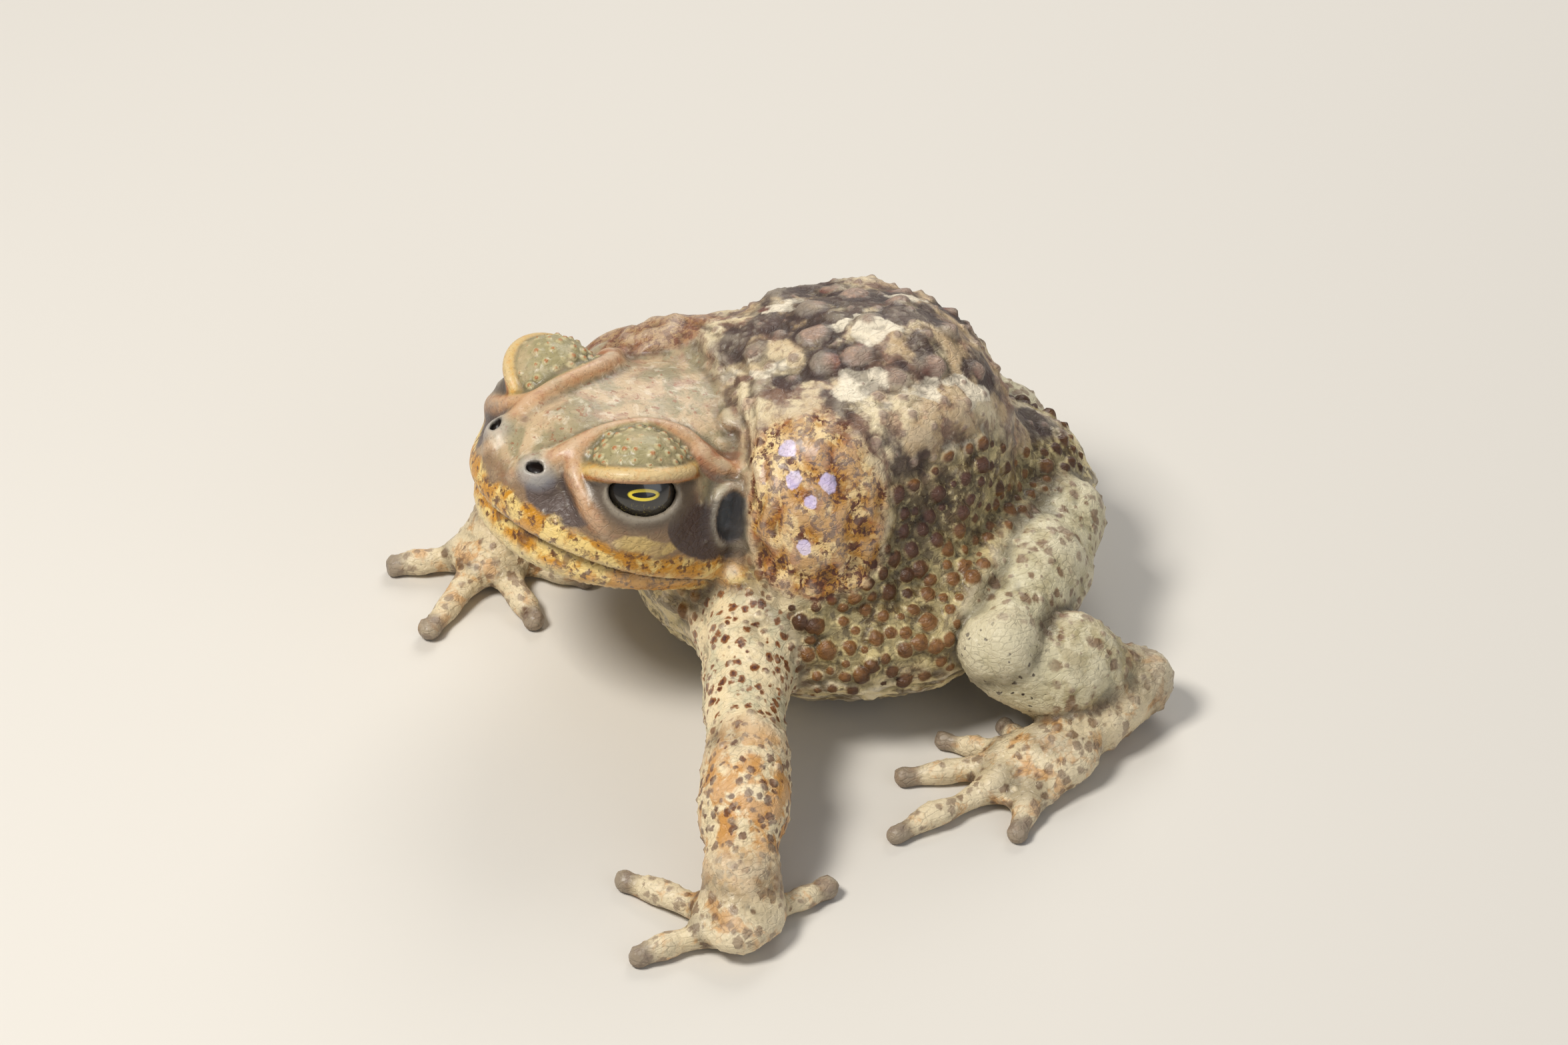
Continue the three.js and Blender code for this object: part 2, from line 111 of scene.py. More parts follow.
# Rounded shapes as distance fields, in millimetres, negative inside
def turnXYZ(x, y, z):
    cx, sx, cy, sy, cz, sz = [f(v) for v in (x, y, z) for f in (cos, sin)]
    aboutX = np.array([[1, 0, 0], [0, cx, -sx], [0, sx, cx]])
    aboutY = np.array([[cy, 0, sy], [0, 1, 0], [-sy, 0, cy]])
    aboutZ = np.array([[cz, -sz, 0], [sz, cz, 0], [0, 0, 1]])
    return aboutX @ aboutY @ aboutZ


def ellipsoid(p, centre, radii, turn=None):
    q = p - single(centre)
    if turn is not None:
        q = q @ single(turn)
    radii = single(radii)
    near = np.maximum(np.sqrt(np.square(q / radii).sum(-1)), 1e-4)
    slope = np.maximum(np.sqrt(np.square(q / np.square(radii)).sum(-1)), 1e-4 / radii.max())
    return near * (near - 1) / slope


def taper(p, a, b, ra, rb):
    a, b = single(a), single(b)
    along = b - a
    q = p - a
    t = np.clip(q @ along / max(float(along @ along), 1e-9), 0, 1)
    return np.sqrt(np.square(q - t[..., None] * along).sum(-1)) - (ra + (rb - ra) * t)


def melt(width, *fields):
    result = fields[0]
    for other in fields[1:]:
        h = np.maximum(width - np.abs(result - other), 0) / width
        result = np.minimum(result, other) - h * h * width / 4
    return result


def meltShapes(p, forms):
    return melt(forms["melt"], *[ellipsoid(p, at, radii) for at, radii in forms["shapes"]])


def carve(width, field, cutter):
    return -melt(width, -field, cutter)


def step(value, low, high):
    t = np.clip((value - low) / (high - low), 0, 1)
    return t * t * (3 - 2 * t)


# Height at which a field ends, looking up along one column
def topOf(field, x, y, z):
    column = single(np.stack([np.full_like(z, x), np.full_like(z, y), z], -1))
    return float(z[np.argmax(field(column) > 0)])


def bell(p, centre, radii):
    return np.exp(-np.square((p - single(centre)) / single(radii)).sum(-1))


def between(a, b, t):
    return [u + (v - u) * t for u, v in zip(a, b)]


def smoothPath(points, steps=6):
    pts = [np.array(p, float) for p in points]
    pts = [2 * pts[0] - pts[1]] + pts + [2 * pts[-1] - pts[-2]]
    path = []
    for i in range(1, len(pts) - 2):
        p0, p1, p2, p3 = pts[i - 1:i + 3]
        for k in range(steps):
            t = k / steps
            path.append(0.5 * (2 * p1 + (p2 - p0) * t + (2 * p0 - 5 * p1 + 4 * p2 - p3) * t ** 2
                + (3 * p1 - p0 - 3 * p2 + p3) * t ** 3))
    path.append(pts[-2])
    return path


def strand(p, points, radii, steps=6):
    path = smoothPath(points, steps)
    radii = np.interp(np.linspace(0, 1, len(path)), np.linspace(0, 1, len(radii)), radii)
    result = np.full(p.shape[:-1], 99.0, np.float32)
    for i in range(len(path) - 1):
        result = np.minimum(result, taper(p, path[i], path[i + 1], radii[i], radii[i + 1]))
    return result


def lumps(p, size, seed):
    x, y, z = [p[..., i] * (2 * pi / size) for i in range(3)]
    crossed = np.sin(x * 0.83 + seed + 1.4 * np.sin(y * 0.61 + 2 * seed))
    crossed = crossed * np.sin(y * 0.94 + 0.7 * seed + 1.3 * np.sin(z * 0.71 + seed))
    return crossed + 0.5 * np.sin(z * 1.27 + x * 0.53 + 3 * seed)


# The toad's own axes: snout to -Y, its left side to +X, floor at 0. The head has axes of its own
# and is the same on both sides, so its fields read the left side only
head = {"place": (-1.9, -15.8, 30.2), "yaw": 12.5, "pitch": 11, "roll": 0.5, "jawHalfWidth": 22.9, "cornerBack": 3,
    "snout": 33.6, "mouthRise": (-5.3, 1.6), "gap": 0.22}
skullForms = {"melt": 6, "shapes": [((0, -9, 5), (21, 16, 10.5)), ((0, -20, 5), (15.6, 14.6, 8.6)),
    ((13.4, -16, 6.6), (8.4, 9.6, 8.2)), ((-13.4, -16, 6.6), (8.4, 9.6, 8.2)),
    ((0, -13, 9), (11.5, 13, 7)), ((0, 3, 4.5), (19.5, 14, 12)),
    ((0, -8.5, -0.5), (21.8, 22.5, 5.8))]}
jawForms = {"melt": 5, "shapes": [((0, -11, -3.4), (21.4, 22, 5.8)), ((0, 3, -5.6), (19, 13, 7.4))]}
lips = {"upper": (1.6, 1.9, 1.9), "lower": (-1.4, 3.2, 1.6)}  # rise, inset and radius
crest = {"over": [(3.9, -32.4), (5.6, -28.8), (6.6, -25), (6.9, -21), (7.4, -17), (8.6, -12.4), (11.2, -8.2),
    (14.2, -6.6)],
    "overRadii": [0.8, 1.0, 1.1, 1.15, 1.2, 1.3, 1.4, 1.3],
    "before": [(7.6, -24.8, 13.0), (10.6, -26.3, 11.2), (13.9, -26.3, 9.2), (16.8, -25.0, 7.2), (18.6, -22.8, 4.6)],
    "behind": [(14.2, -6.6, 13.9), (16.2, -4.2, 12.9), (17.4, -0.6, 11.6), (18.2, 2.4, 9.6)]}
eye = {"centre": (13.8, -17, 10.4), "radius": 6.9, "outward": 66, "upward": 19}
lid = {"rise": 24, "lean": 6, "raise": 1.5, "upper": (8.1, 8.3, 8.6), "lower": (7.9, 8.1, 7.7),
    "opening": (5, 5.6, 3.5), "rim": [0.7, 1.05, 1.2, 1.25, 1.2, 1.1, 0.8], "band": 2.1}
drum = {"centre": (20.6, -4.4, 7), "high": 4.3, "long": 2.8, "tilt": -8, "turn": 6}
nose = {"pit": (6.2, -30.9, 10.95), "pitRadii": (1.35, 0.85, 1.3), "turn": 40, "swell": (5.6, -29.6, 9.6),
    "swellRadii": (2.8, 2.8, 2.0)}
cornerFold = {"centre": (22.9, -1.6, -2.4), "radii": (2.0, 2.5, 1.7)}
earFold = {"path": [(19.2, -0.7, 9.0), (20.7, -0.9, 5.6), (21.7, -1.1, 3.0), (22.6, -1.2, 0.2)],
    "radii": [0.9, 1.3, 1.4, 1.3]}
hollows = [((0, -15, 17), (6.2, 9, 6), 0.9), ((11.6, -28.8, 8.2), (4.4, 4.0, 3.0), 1.0),
    ((21.6, -10.5, 6.5), (4, 4, 4), 0.7), ((16, -1, 12), (3, 3, 2), 0.4)]

headTurn = turnXYZ(0, 0, radians(head["yaw"])) @ turnXYZ(-radians(head["pitch"]), 0, 0)
headTurn = headTurn @ turnXYZ(0, radians(head["roll"]), 0)
headPlace = np.array(head["place"])


def toHead(p):
    return (p - single(headPlace)) @ single(headTurn)


def foldSides(q):
    folded = q.copy()
    folded[..., 0] = np.abs(folded[..., 0])
    return folded


def mouthHeight(y):
    low, high = head["mouthRise"]
    return low + (high - low) * np.clip(-y / head["snout"], 0, 1) ** 1.1


def lipPath(rise, inset):
    path = []
    for i in range(15):
        angle = pi * i / 28
        x = (head["jawHalfWidth"] - inset) * abs(cos(angle)) ** 0.8
        y = head["cornerBack"] - (head["snout"] - inset + head["cornerBack"]) * sin(angle) ** 0.84
        path.append((x, y, rise + float(mouthHeight(np.float64(y)))))
    return path


def lipField(near, which):
    rise, inset, radius = lips[which]
    return strand(near, lipPath(rise, inset), [radius], 1)


def onSkull(x, y, depth):
    return (x, y, topOf(lambda p: meltShapes(p, skullForms), x, y, np.linspace(4, 22, 361)) - depth)


crestOver = [onSkull(x, y, 0.5 - 0.9 * min(i / 3, 1)) for i, (x, y) in enumerate(crest["over"])]


def sided(point, side):
    return (point[0] * side, point[1], point[2])


def lidAxes():
    return turnXYZ(radians(-lid["lean"]), radians(-lid["rise"]), 0)


def gaze(side):
    out, rise = radians(eye["outward"]), radians(eye["upward"])
    return np.array([side * sin(out) * cos(rise), -cos(out) * cos(rise), sin(rise)])


def lidRim():
    points = []
    for i in range(13):
        angle = radians(-98 + 176 * i / 12)
        along = ((lid["upper"][0] - 0.3) * cos(angle), (lid["upper"][1] - 0.3) * sin(angle), 0.8 + lid["raise"])
        points.append(lidAxes() @ np.array(along) + np.array(eye["centre"]))
    return points


def aboveLids(near):
    return (near - single(eye["centre"])) @ single(lidAxes()[:, 2]) - lid["raise"]


def crestField(near):
    over = strand(near, crestOver, crest["overRadii"], 4)
    before = strand(near, crest["before"], [1.0, 1.15, 1.15, 1.0, 0.7], 4)
    behind = strand(near, crest["behind"], [1.4, 1.3, 1.2, 1.0], 4)
    return melt(1.5, over, before, behind)


def drumRing(near):
    tilt = turnXYZ(0, radians(drum["tilt"]), radians(drum["turn"]))
    local = (near - single(drum["centre"])) @ single(tilt)
    ring = np.sqrt(np.square(local[..., 1] / drum["long"]) + np.square(local[..., 2] / drum["high"]))
    return ring, np.abs(local[..., 0]) < 6, tilt


def lidFields(near, field):
    above = aboveLids(near)
    field = melt(1.2, field, np.maximum(ellipsoid(near, eye["centre"], lid["lower"]), above))
    look = gaze(1)
    middle = np.array(eye["centre"]) + look * eye["radius"]
    flat = turnXYZ(0, 0, atan2(look[1], look[0])) @ turnXYZ(0, -asin(look[2]), 0)
    field = carve(0.5, field, np.maximum(ellipsoid(near, middle, lid["opening"], flat), above))
    upper = np.maximum(ellipsoid(near, eye["centre"], lid["upper"]), -above)
    upper = melt(0.8, upper, strand(near, lidRim(), lid["rim"], 2))
    field = melt(1.0, field, np.maximum(upper, -above - 0.15))
    return np.maximum(field, -ellipsoid(near, eye["centre"], [eye["radius"] + 0.05] * 3))


def headField(q):
    near = foldSides(q)
    field = melt(2.4, meltShapes(q, skullForms), crestField(near))
    for centre, radii, depth in hollows:
        field = field + depth * bell(near, centre, radii)
    field = melt(2.4, field, lipField(near, "upper"))
    below = melt(2.0, meltShapes(q, jawForms), lipField(near, "lower"))
    height = q[..., 2] - mouthHeight(q[..., 1])
    gap = head["gap"] - 1.6 * step(q[..., 1], 1.5, 4.0)
    field = melt(0.5, np.maximum(field, gap - height), np.maximum(below, gap + height))
    field = melt(1.4, field, ellipsoid(near, cornerFold["centre"], cornerFold["radii"]))
    field = melt(1.6, field, strand(near, earFold["path"], earFold["radii"], 4))
    field = lidFields(near, field)
    ring, close, tilt = drumRing(near)
    disc = ellipsoid(near, drum["centre"], (1.3, drum["long"] + 0.7, drum["high"] + 0.7), tilt)
    field = melt(1.6, field, disc) - close * 0.22 * np.exp(-np.square((ring - 1.12) / 0.16))
    field = field + close * 0.25 * step(-ring, -1.0, -0.75)
    field = melt(2.4, field, ellipsoid(near, nose["swell"], nose["swellRadii"]))
    turn = turnXYZ(0, 0, radians(nose["turn"]))
    return carve(0.5, field, ellipsoid(near, nose["pit"], nose["pitRadii"], turn))


trunkForms = {"melt": 9, "shapes": [((0, 9, 16.2), (39.6, 33, 16.6)), ((0, 10, 33), (26, 25.5, 20.5)),
    ((0, -5, 24), (21.8, 18.5, 15)), ((0, 20, 33), (17, 15.6, 19.5)),
    ((0, 39, 15), (14, 14, 13.5))]}
trunkAxis = 24  # height of the line that the back and the flanks curve round
glands = {"slope": 38, "melt": 11, 1: {"centre": (22.4, -1.2, 38.4), "radii": (6.8, 9, 11.5)},
    -1: {"centre": (-22.2, -12.6, 36.4), "radii": (7.4, 13, 11.2)}}
folds = [
    {"path": [(37.2, 13.0, 20.6), (34.4, 18.6, 23.0), (30.0, 23.4, 24.4), (22.8, 29.6, 25.4), (16.4, 35.4, 24.6),
        (11.5, 41.0, 23.8), (4.1, 51.0, 17.8)], "radii": [0.8, 1.9, 2.3, 2.2, 1.9, 1.6, 1.0], "melt": 1.8,
        "sides": (1, -1)},
    {"path": [(6.2, -5.0, 46.6), (9.8, -0.4, 48.0), (13.2, 4.4, 48.2), (17.2, 8.6, 46.2), (18.0, 13.4, 45.6),
        (16.0, 20.1, 46.0), (12.5, 27.5, 44.6)], "radii": [1.6, 2.2, 2.6, 2.8, 2.8, 2.6, 1.8], "melt": 4.5,
        "sides": (1, -1)},
    {"path": [(24.6, -9.8, 27.6), (28.0, -7.6, 26.2), (31.4, -4.8, 23.8), (34.6, -1.2, 20.4)],
        "radii": [1.0, 1.6, 1.6, 0.9], "melt": 2.4, "sides": (1,)},
]
# The large warts of the back: x, y and half width
backWarts = [(6.8, -8.7, 2.5), (17.7, 6.3, 2.8), (13.9, 4.1, 1.9), (6.7, 6, 2.5), (7, 10.9, 2.5), (-0.2, 6.3, 2.6),
    (10.6, 21.6, 2.4), (5.4, -3.6, 1.6), (12.3, 15.3, 1.9), (-2.6, -2.7, 1.6), (-8.7, -5.5, 1.9),
    (-7.5, 8.5, 2.4), (-12.5, 3, 2), (-17.5, 7, 2.6), (-9.5, 16, 2.3), (-15, 14, 1.8), (-4.6, 21.5, 1.9),
    (-11, 24, 2.2), (3, 27, 1.7), (0.8, 15, 1.8), (9.4, 29.4, 1.8), (-7, 31, 1.7)]
wartShape = np.array([0.8, 0.94, 0.42])


def trunkField(p):
    return meltShapes(p, trunkForms)


def glandField(p, side):
    gland = glands[side]
    return ellipsoid(p, gland["centre"], gland["radii"], turnXYZ(0, side * radians(-glands["slope"]), 0))


def placeWarts():
    placed = []
    for x, y, size in backWarts:
        top = topOf(trunkField, x, y, np.linspace(trunkAxis, 60, 1201))
        placed.append((np.array([x, y, top]), size, turnXYZ(0, atan2(x, top - trunkAxis), 0)))
    return placed


wartPlaces = placeWarts()

arms = {1: {"shoulder": (21, -11, 19), "elbow": (50, -21.5, 14.5), "wrist": (67, -27.5, 7),
        "palm": (71, -29.5, 3.8), "headings": (165, 110, 50, -5)},
    -1: {"shoulder": (-21, -13, 19), "elbow": (-41, -24, 15), "wrist": (-28, -36, 7.5),
        "palm": (-25.5, -40, 3.8), "headings": (145, 97, 44, -13)}}
fingers = {"lengths": (17, 18, 21, 17), "radius": 2.3}
leg = {"hip": (13, 43, 17.5), "knee": (40, 23, 18.5), "heel": (41.5, 45, 6.6), "instep": (51, 28, 4)}
toes = {"headings": (-78, -42, -13, 15, 54), "lengths": (13, 18, 23, 29, 17), "radius": 2.2, "web": 0.42}


def ahead(base, heading, out, height):
    return (base[0] + sin(heading) * out, base[1] - cos(heading) * out, height)


def digitPath(base, heading, length, radius):
    stations = ((-0.15, base[2]), (0.3, radius * 1.1), (0.65, radius * 0.85),
        (1 - radius * 0.5 / length, radius * 0.62))
    return [ahead(base, heading, length * share, height) for share, height in stations]


def digitRadii(radius):
    return [radius * (1 - 0.28 * t) * (1 + 0.11 * cos(t * pi * 6)) for t in np.linspace(0, 0.93, 13)]


def webPaths(base, headings, lengths):
    neighbours = zip(headings, headings[1:], lengths, lengths[1:])
    return [((base[0], base[1], 2.0), ahead(base, (a + b) / 2, toes["web"] * min(m, n), 1.0))
        for a, b, m, n in neighbours]


def digits(name, base, headings, lengths, radius, fillet):
    paths = [digitPath(base, heading, length, radius) for heading, length in zip(headings, lengths)]
    return [(name, path, 3, lambda p, path=path: strand(p, path, digitRadii(radius), 5), fillet) for path in paths]


# Every limb part: name, box corners, margin, field and the width of the fillet where it joins
def armParts(side):
    arm = arms[side]
    shoulder, elbow, wrist, palm = arm["shoulder"], arm["elbow"], arm["wrist"], arm["palm"]
    muscle = between(elbow, wrist, 0.4)
    parts = [("upperArm", (shoulder, elbow), 10, lambda p: taper(p, shoulder, elbow, 8.6, 5.2), 4.0),
        ("forearm", (elbow, wrist), 9, lambda p: melt(4, taper(p, elbow, wrist, 5.6, 5.2),
            ellipsoid(p, muscle, (6.6, 6.6, 6.6))), 4.5),
        ("hand", (wrist, palm), 10, lambda p: melt(3, ellipsoid(p, palm, (7, 7, 3.4)),
            taper(p, wrist, palm, 4.8, 3.6)), 4.0)]
    headings = [-side * radians(heading) for heading in arm["headings"]]
    return parts + digits("finger", palm, headings, fingers["lengths"], fingers["radius"], 1.8)


def legParts(side):
    hip, knee, heel, instep = [sided(leg[k], side) for k in ("hip", "knee", "heel", "instep")]
    shankTop = (knee[0], knee[1] + 1.5, knee[2] - 3)
    pad = (instep[0] + 2 * side, instep[1] - 6, 2.2)
    thigh, calf = between(hip, knee, 0.45), between(shankTop, heel, 0.45)
    parts = [("thigh", (hip, knee), 11, lambda p: melt(5, taper(p, hip, knee, 7.4, 6.4),
        ellipsoid(p, thigh, (7.8,) * 3)), 1.4),
        ("shank", (shankTop, heel), 11, lambda p: melt(4, taper(p, shankTop, heel, 6.2, 5.2),
            ellipsoid(p, calf, (8.6, 9, 8.8))), 0.9),
        ("tarsus", (heel, instep), 8, lambda p: taper(p, heel, instep, 5.8, 4.2), 1.2),
        ("foot", (instep, pad), 10, lambda p: melt(4, ellipsoid(p, instep, (6, 7, 3.6)),
            ellipsoid(p, pad, (7, 6, 2))), 2.5)]
    base = (instep[0], instep[1] - 1, 3)
    headings = [side * radians(heading) for heading in toes["headings"]]
    parts += digits("toe", base, headings, toes["lengths"], toes["radius"], 2.0)
    for web in webPaths(base, headings, toes["lengths"]):
        parts.append(("web", web, 3, lambda p, web=web: taper(p, *web, 1.7, 0.8), 3.0))
    return parts


limbParts = armParts(1) + armParts(-1) + legParts(1) + legParts(-1)

# One skin: every form melted together on a grid and meshed
grid = {"cell": 0.42, "far": 9.0, "low": (-67.0, -58.5, -2.1), "high": (80.0, 55.0, 58.0)}


def gridBox(low, high):
    base, cell = np.array(grid["low"]), grid["cell"]
    top = np.ceil((np.array(grid["high"]) - base) / cell).astype(int)
    first = np.clip(np.floor((np.array(low) - base) / cell).astype(int), 0, top)
    last = np.clip(np.ceil((np.array(high) - base) / cell).astype(int) + 1, 0, top + 1)
    axes = [(np.arange(a, b) * cell + o).astype(np.float32) for a, b, o in zip(first, last, base)]
    points = np.stack(np.meshgrid(*axes, indexing="ij"), -1)
    return tuple(slice(a, b) for a, b in zip(first, last)), points


def buildVolume():
    low, high = np.array(grid["low"]), np.array(grid["high"])
    shape = tuple(np.ceil((high - low) / grid["cell"]).astype(int) + 1)
    volume = np.full(shape, grid["far"], np.float32)

    def stamp(corners, margin, field, width):
        corners = np.array(corners, float)
        where, points = gridBox(corners.min(0) - margin - 2, corners.max(0) + margin + 2)
        volume[where] = melt(width, volume[where], field(points))

    stamp([(-36, -26, 2), (36, 54, 54)], 5, trunkField, 1.0)
    for fold in folds:
        for side in fold["sides"]:
            path = [sided(point, side) for point in fold["path"]]
            stamp(path, 6, lambda p, path=path, radii=fold["radii"]: strand(p, path, radii, 4), fold["melt"])
    for side in (1, -1):
        stamp([glands[side]["centre"]], 15, lambda p, k=side: glandField(p, k), glands["melt"])
    for part in limbParts:
        if part[0] == "upperArm":  # under the head, which has a sharper join
            stamp(*part[1:])
    corners = np.array([(x, y, z) for x in (-26, 26) for y in (-36, 18) for z in (-14, 20)])
    stamp(corners @ headTurn.T + headPlace, 2, lambda p: headField(toHead(p)), 1.5)
    for part in limbParts:
        if part[0] != "upperArm":
            stamp(*part[1:])
    for place, size, turn in wartPlaces:
        stamp([place], 4, lambda p, c=place, r=size * wartShape, t=turn: ellipsoid(p, c, r, t), 1.4)
    _, points = gridBox(low, high)
    return np.maximum(volume, -points[..., 2])


def meshFromVolume(volume):
    flesh = openvdb.FloatGrid(grid["far"])
    flesh.copyFromArray(volume)
    places, triangles, quads = flesh.convertToPolygons(isovalue=0.0, adaptivity=0.0)
    places = places * grid["cell"] + np.array(grid["low"]) + originShift
    faces = [tuple(f) for f in triangles.tolist()] + [tuple(f) for f in quads.tolist()]
    mesh = bpy.data.meshes.new("toadSkin")
    mesh.from_pydata((places * mm).tolist(), [], faces)
    mesh.update()
    return mesh


def verticesOf(mesh, what="co"):
    values = np.empty(len(mesh.vertices) * 3, np.float32)
    mesh.vertices.foreach_get(what, values)
    return values.reshape(-1, 3)


def toToad(mesh):
    return (verticesOf(mesh) / mm - originShift).astype(np.float32)


def writeMask(mesh, name, values):
    old = mesh.attributes.get(name)
    if old is not None:
        mesh.attributes.remove(old)
    mesh.attributes.new(name, "FLOAT", "POINT").data.foreach_set("value", single(values))


# Where on the body each kind of skin lies: patches give centre, reach in millimetres and strength
patches = {
    "dark": [((-7.7, -1.2, 50.4), 7, 1), ((6.9, 7, 52.9), 6, 1), ((8, 1.2, 51.2), 4, 0.9),
        ((15.5, 5.2, 49.4), 4.5, 1), ((20.7, 7.7, 45.3), 5, 1), ((21.9, 13, 43.5), 5, 0.8),
        ((8.6, 31.6, 46.5), 6, 0.9), ((2.5, 43.2, 30), 7, 0.9), ((-0.2, 22.5, 54), 6, 1),
        ((8, 21.6, 52.5), 4.5, 0.9), ((-2, 8, 55), 7, 1), ((-9, 16, 53), 8, 1), ((-17, 8, 47), 8, 0.9),
        ((-8, 32, 46), 8, 0.9), ((14, 36, 36), 6, 0.7), ((-14, 40, 30), 8, 0.8)],
    "pale": [((-11.4, 5.7, 51.1), 4, 1), ((12.6, 9.6, 51.2), 4, 1), ((4.2, 17.2, 54.3), 3.6, 1),
        ((12.6, 28.1, 47.2), 4, 1), ((5, 37.6, 37.3), 4, 0.9), ((3.2, -2.6, 50.6), 3.4, 0.9),
        ((-1.1, -6.6, 48.5), 4, 0.8), ((16, 17, 48.5), 4, 1), ((14.5, 22, 48.5), 3.6, 0.9),
        ((0, 12, 55.5), 2.6, 0.9), ((-6, 24, 51), 3.4, 0.9), ((20, 25, 42), 5, 0.8)],
    "milk": [((19.6, -4.4, 48.2), 1.7, 1), ((21.5, -0.4, 48.4), 1.5, 1), ((24.4, -5.4, 46.0), 1.6, 1),
        ((26.2, -0.3, 45.4), 1.6, 1), ((27.4, -3.4, 43.4), 1.3, 1), ((30.4, -5.6, 37.4), 1.4, 1)],
}
# Patches of the head: centre, radii, turn about X, and where the edge begins and ends
headPatches = {"loreal": ((11.2, -28.6, 8.2), (6.4, 5, 3.7), 0, -1.2, 1.6),
    "earPatch": ((21, -7.4, 5.6), (6, 8.8, 5.2), -0.33, -1.2, 1.4),
    "underEye": ((21.4, -18.6, 4.4), (4, 6.5, 1.6), -0.1, -1.2, 2.0),
    "nose": (nose["swell"], nose["swellRadii"], 0, -0.1, 1.3),
    "cornerFold": (cornerFold["centre"], cornerFold["radii"], 0, 0.0, 1.0)}
# Regions of the trunk by the angle round its axis in degrees, and how softly one part turns into the next
regions = {"back": (44, 60), "belly": (96, 112), "upperFlank": (66, 92), "blend": 0.8}
wrinkles = {"lumpSize": 19.0, "lump": 0.42, "smallSize": 8.5, "small": 0.2, "neckWave": 2.5, "neck": 0.2,
    "bellyWave": 3.3, "belly": 0.24, "glandSize": 6.5, "gland": 0.26}


def partDistances(p):
    q = toHead(p)
    near = foldSides(q)
    skullNear = np.minimum(meltShapes(q, skullForms), meltShapes(q, jawForms))
    lids = ellipsoid(near, eye["centre"], lid["upper"])
    ear = ellipsoid(near, drum["centre"], (1.6, drum["long"] + 1.2, drum["high"] + 1.2), drumRing(near)[2])
    corner = np.minimum(ellipsoid(near, cornerFold["centre"], cornerFold["radii"]),
        strand(near, earFold["path"], earFold["radii"], 3))
    headNear = np.minimum(np.minimum(skullNear - 0.3, lids), np.minimum(ear, corner) - 0.4)
    distances = {"trunk": trunkField(p), "head": headNear, "gland": np.minimum(glandField(p, 1), glandField(p, -1))}
    for name, corners, margin, field, _ in limbParts:
        corners = np.array(corners, float)
        inside = np.all((p > corners.min(0) - margin - 6) & (p < corners.max(0) + margin + 6), axis=1)
        values = distances.setdefault(name, np.full(len(p), 12.0, np.float32))
        if inside.any():
            values[inside] = np.minimum(values[inside], field(p[inside]))
    return distances, q, near


def headMasks(q, near, normals):
    turned = normals @ single(headTurn)
    height = q[:, 2] - mouthHeight(q[:, 1])
    above = aboveLids(near)
    dome = ellipsoid(near, eye["centre"], lid["upper"])
    ring, close, _ = drumRing(near)
    masks = {"crest": 1 - step(crestField(near), 0.0, 1.0), "lipHeight": np.clip(height / 10, -1, 1)}
    # line along the mouth slit, painted dark as shade
    masks["mouthLine"] = np.exp(-np.square(height / 0.34)) * (1 - step(q[:, 1], 0.5, 2.5))
    onDome = (1 - step(dome, 0.6, 1.5)) * step(above, -0.3, 0.1)
    masks["lidTop"] = onDome * step(above, lid["band"] - 0.4, lid["band"] + 0.3)
    belowBand = 1 - step(above, lid["band"] - 0.2, lid["band"] + 0.3)
    masks["lidBand"] = (1 - step(dome, 1.0, 1.8)) * step(above, -0.5, -0.1) * belowBand
    masks["lidEdge"] = masks["lidBand"] * (1 - step(above, 0.1, 0.65))
    lower = ellipsoid(near, eye["centre"], lid["lower"])
    masks["lidLow"] = (1 - step(lower, 0.2, 1.8)) * (1 - step(above, -0.4, 0.2))
    masks["drum"] = close * (1 - step(ring, 0.88, 1.03))
    masks["drumRim"] = close * np.exp(-np.square((ring - 1.18) / 0.16))
    pit = ellipsoid(near, nose["pit"], nose["pitRadii"], turnXYZ(0, 0, radians(nose["turn"])))
    masks["pit"] = 1 - step(pit, 0.0, 0.55)
    masks["crown"] = step(turned[:, 2], 0.3, 0.7) * step(q[:, 2], 7.5, 10.5)
    for name, (centre, radii, turn, low, high) in headPatches.items():
        masks[name] = 1 - step(ellipsoid(near, centre, radii, turnXYZ(turn, 0, 0)), low, high)
    masks["browStreak"] = 1 - step(strand(near, crest["behind"], [1.9, 2.1, 2.4, 2.6], 3), 0.0, 2.0)
    masks["earFold"] = 1 - step(strand(near, earFold["path"], earFold["radii"], 3), 0.2, 1.5)
    return masks


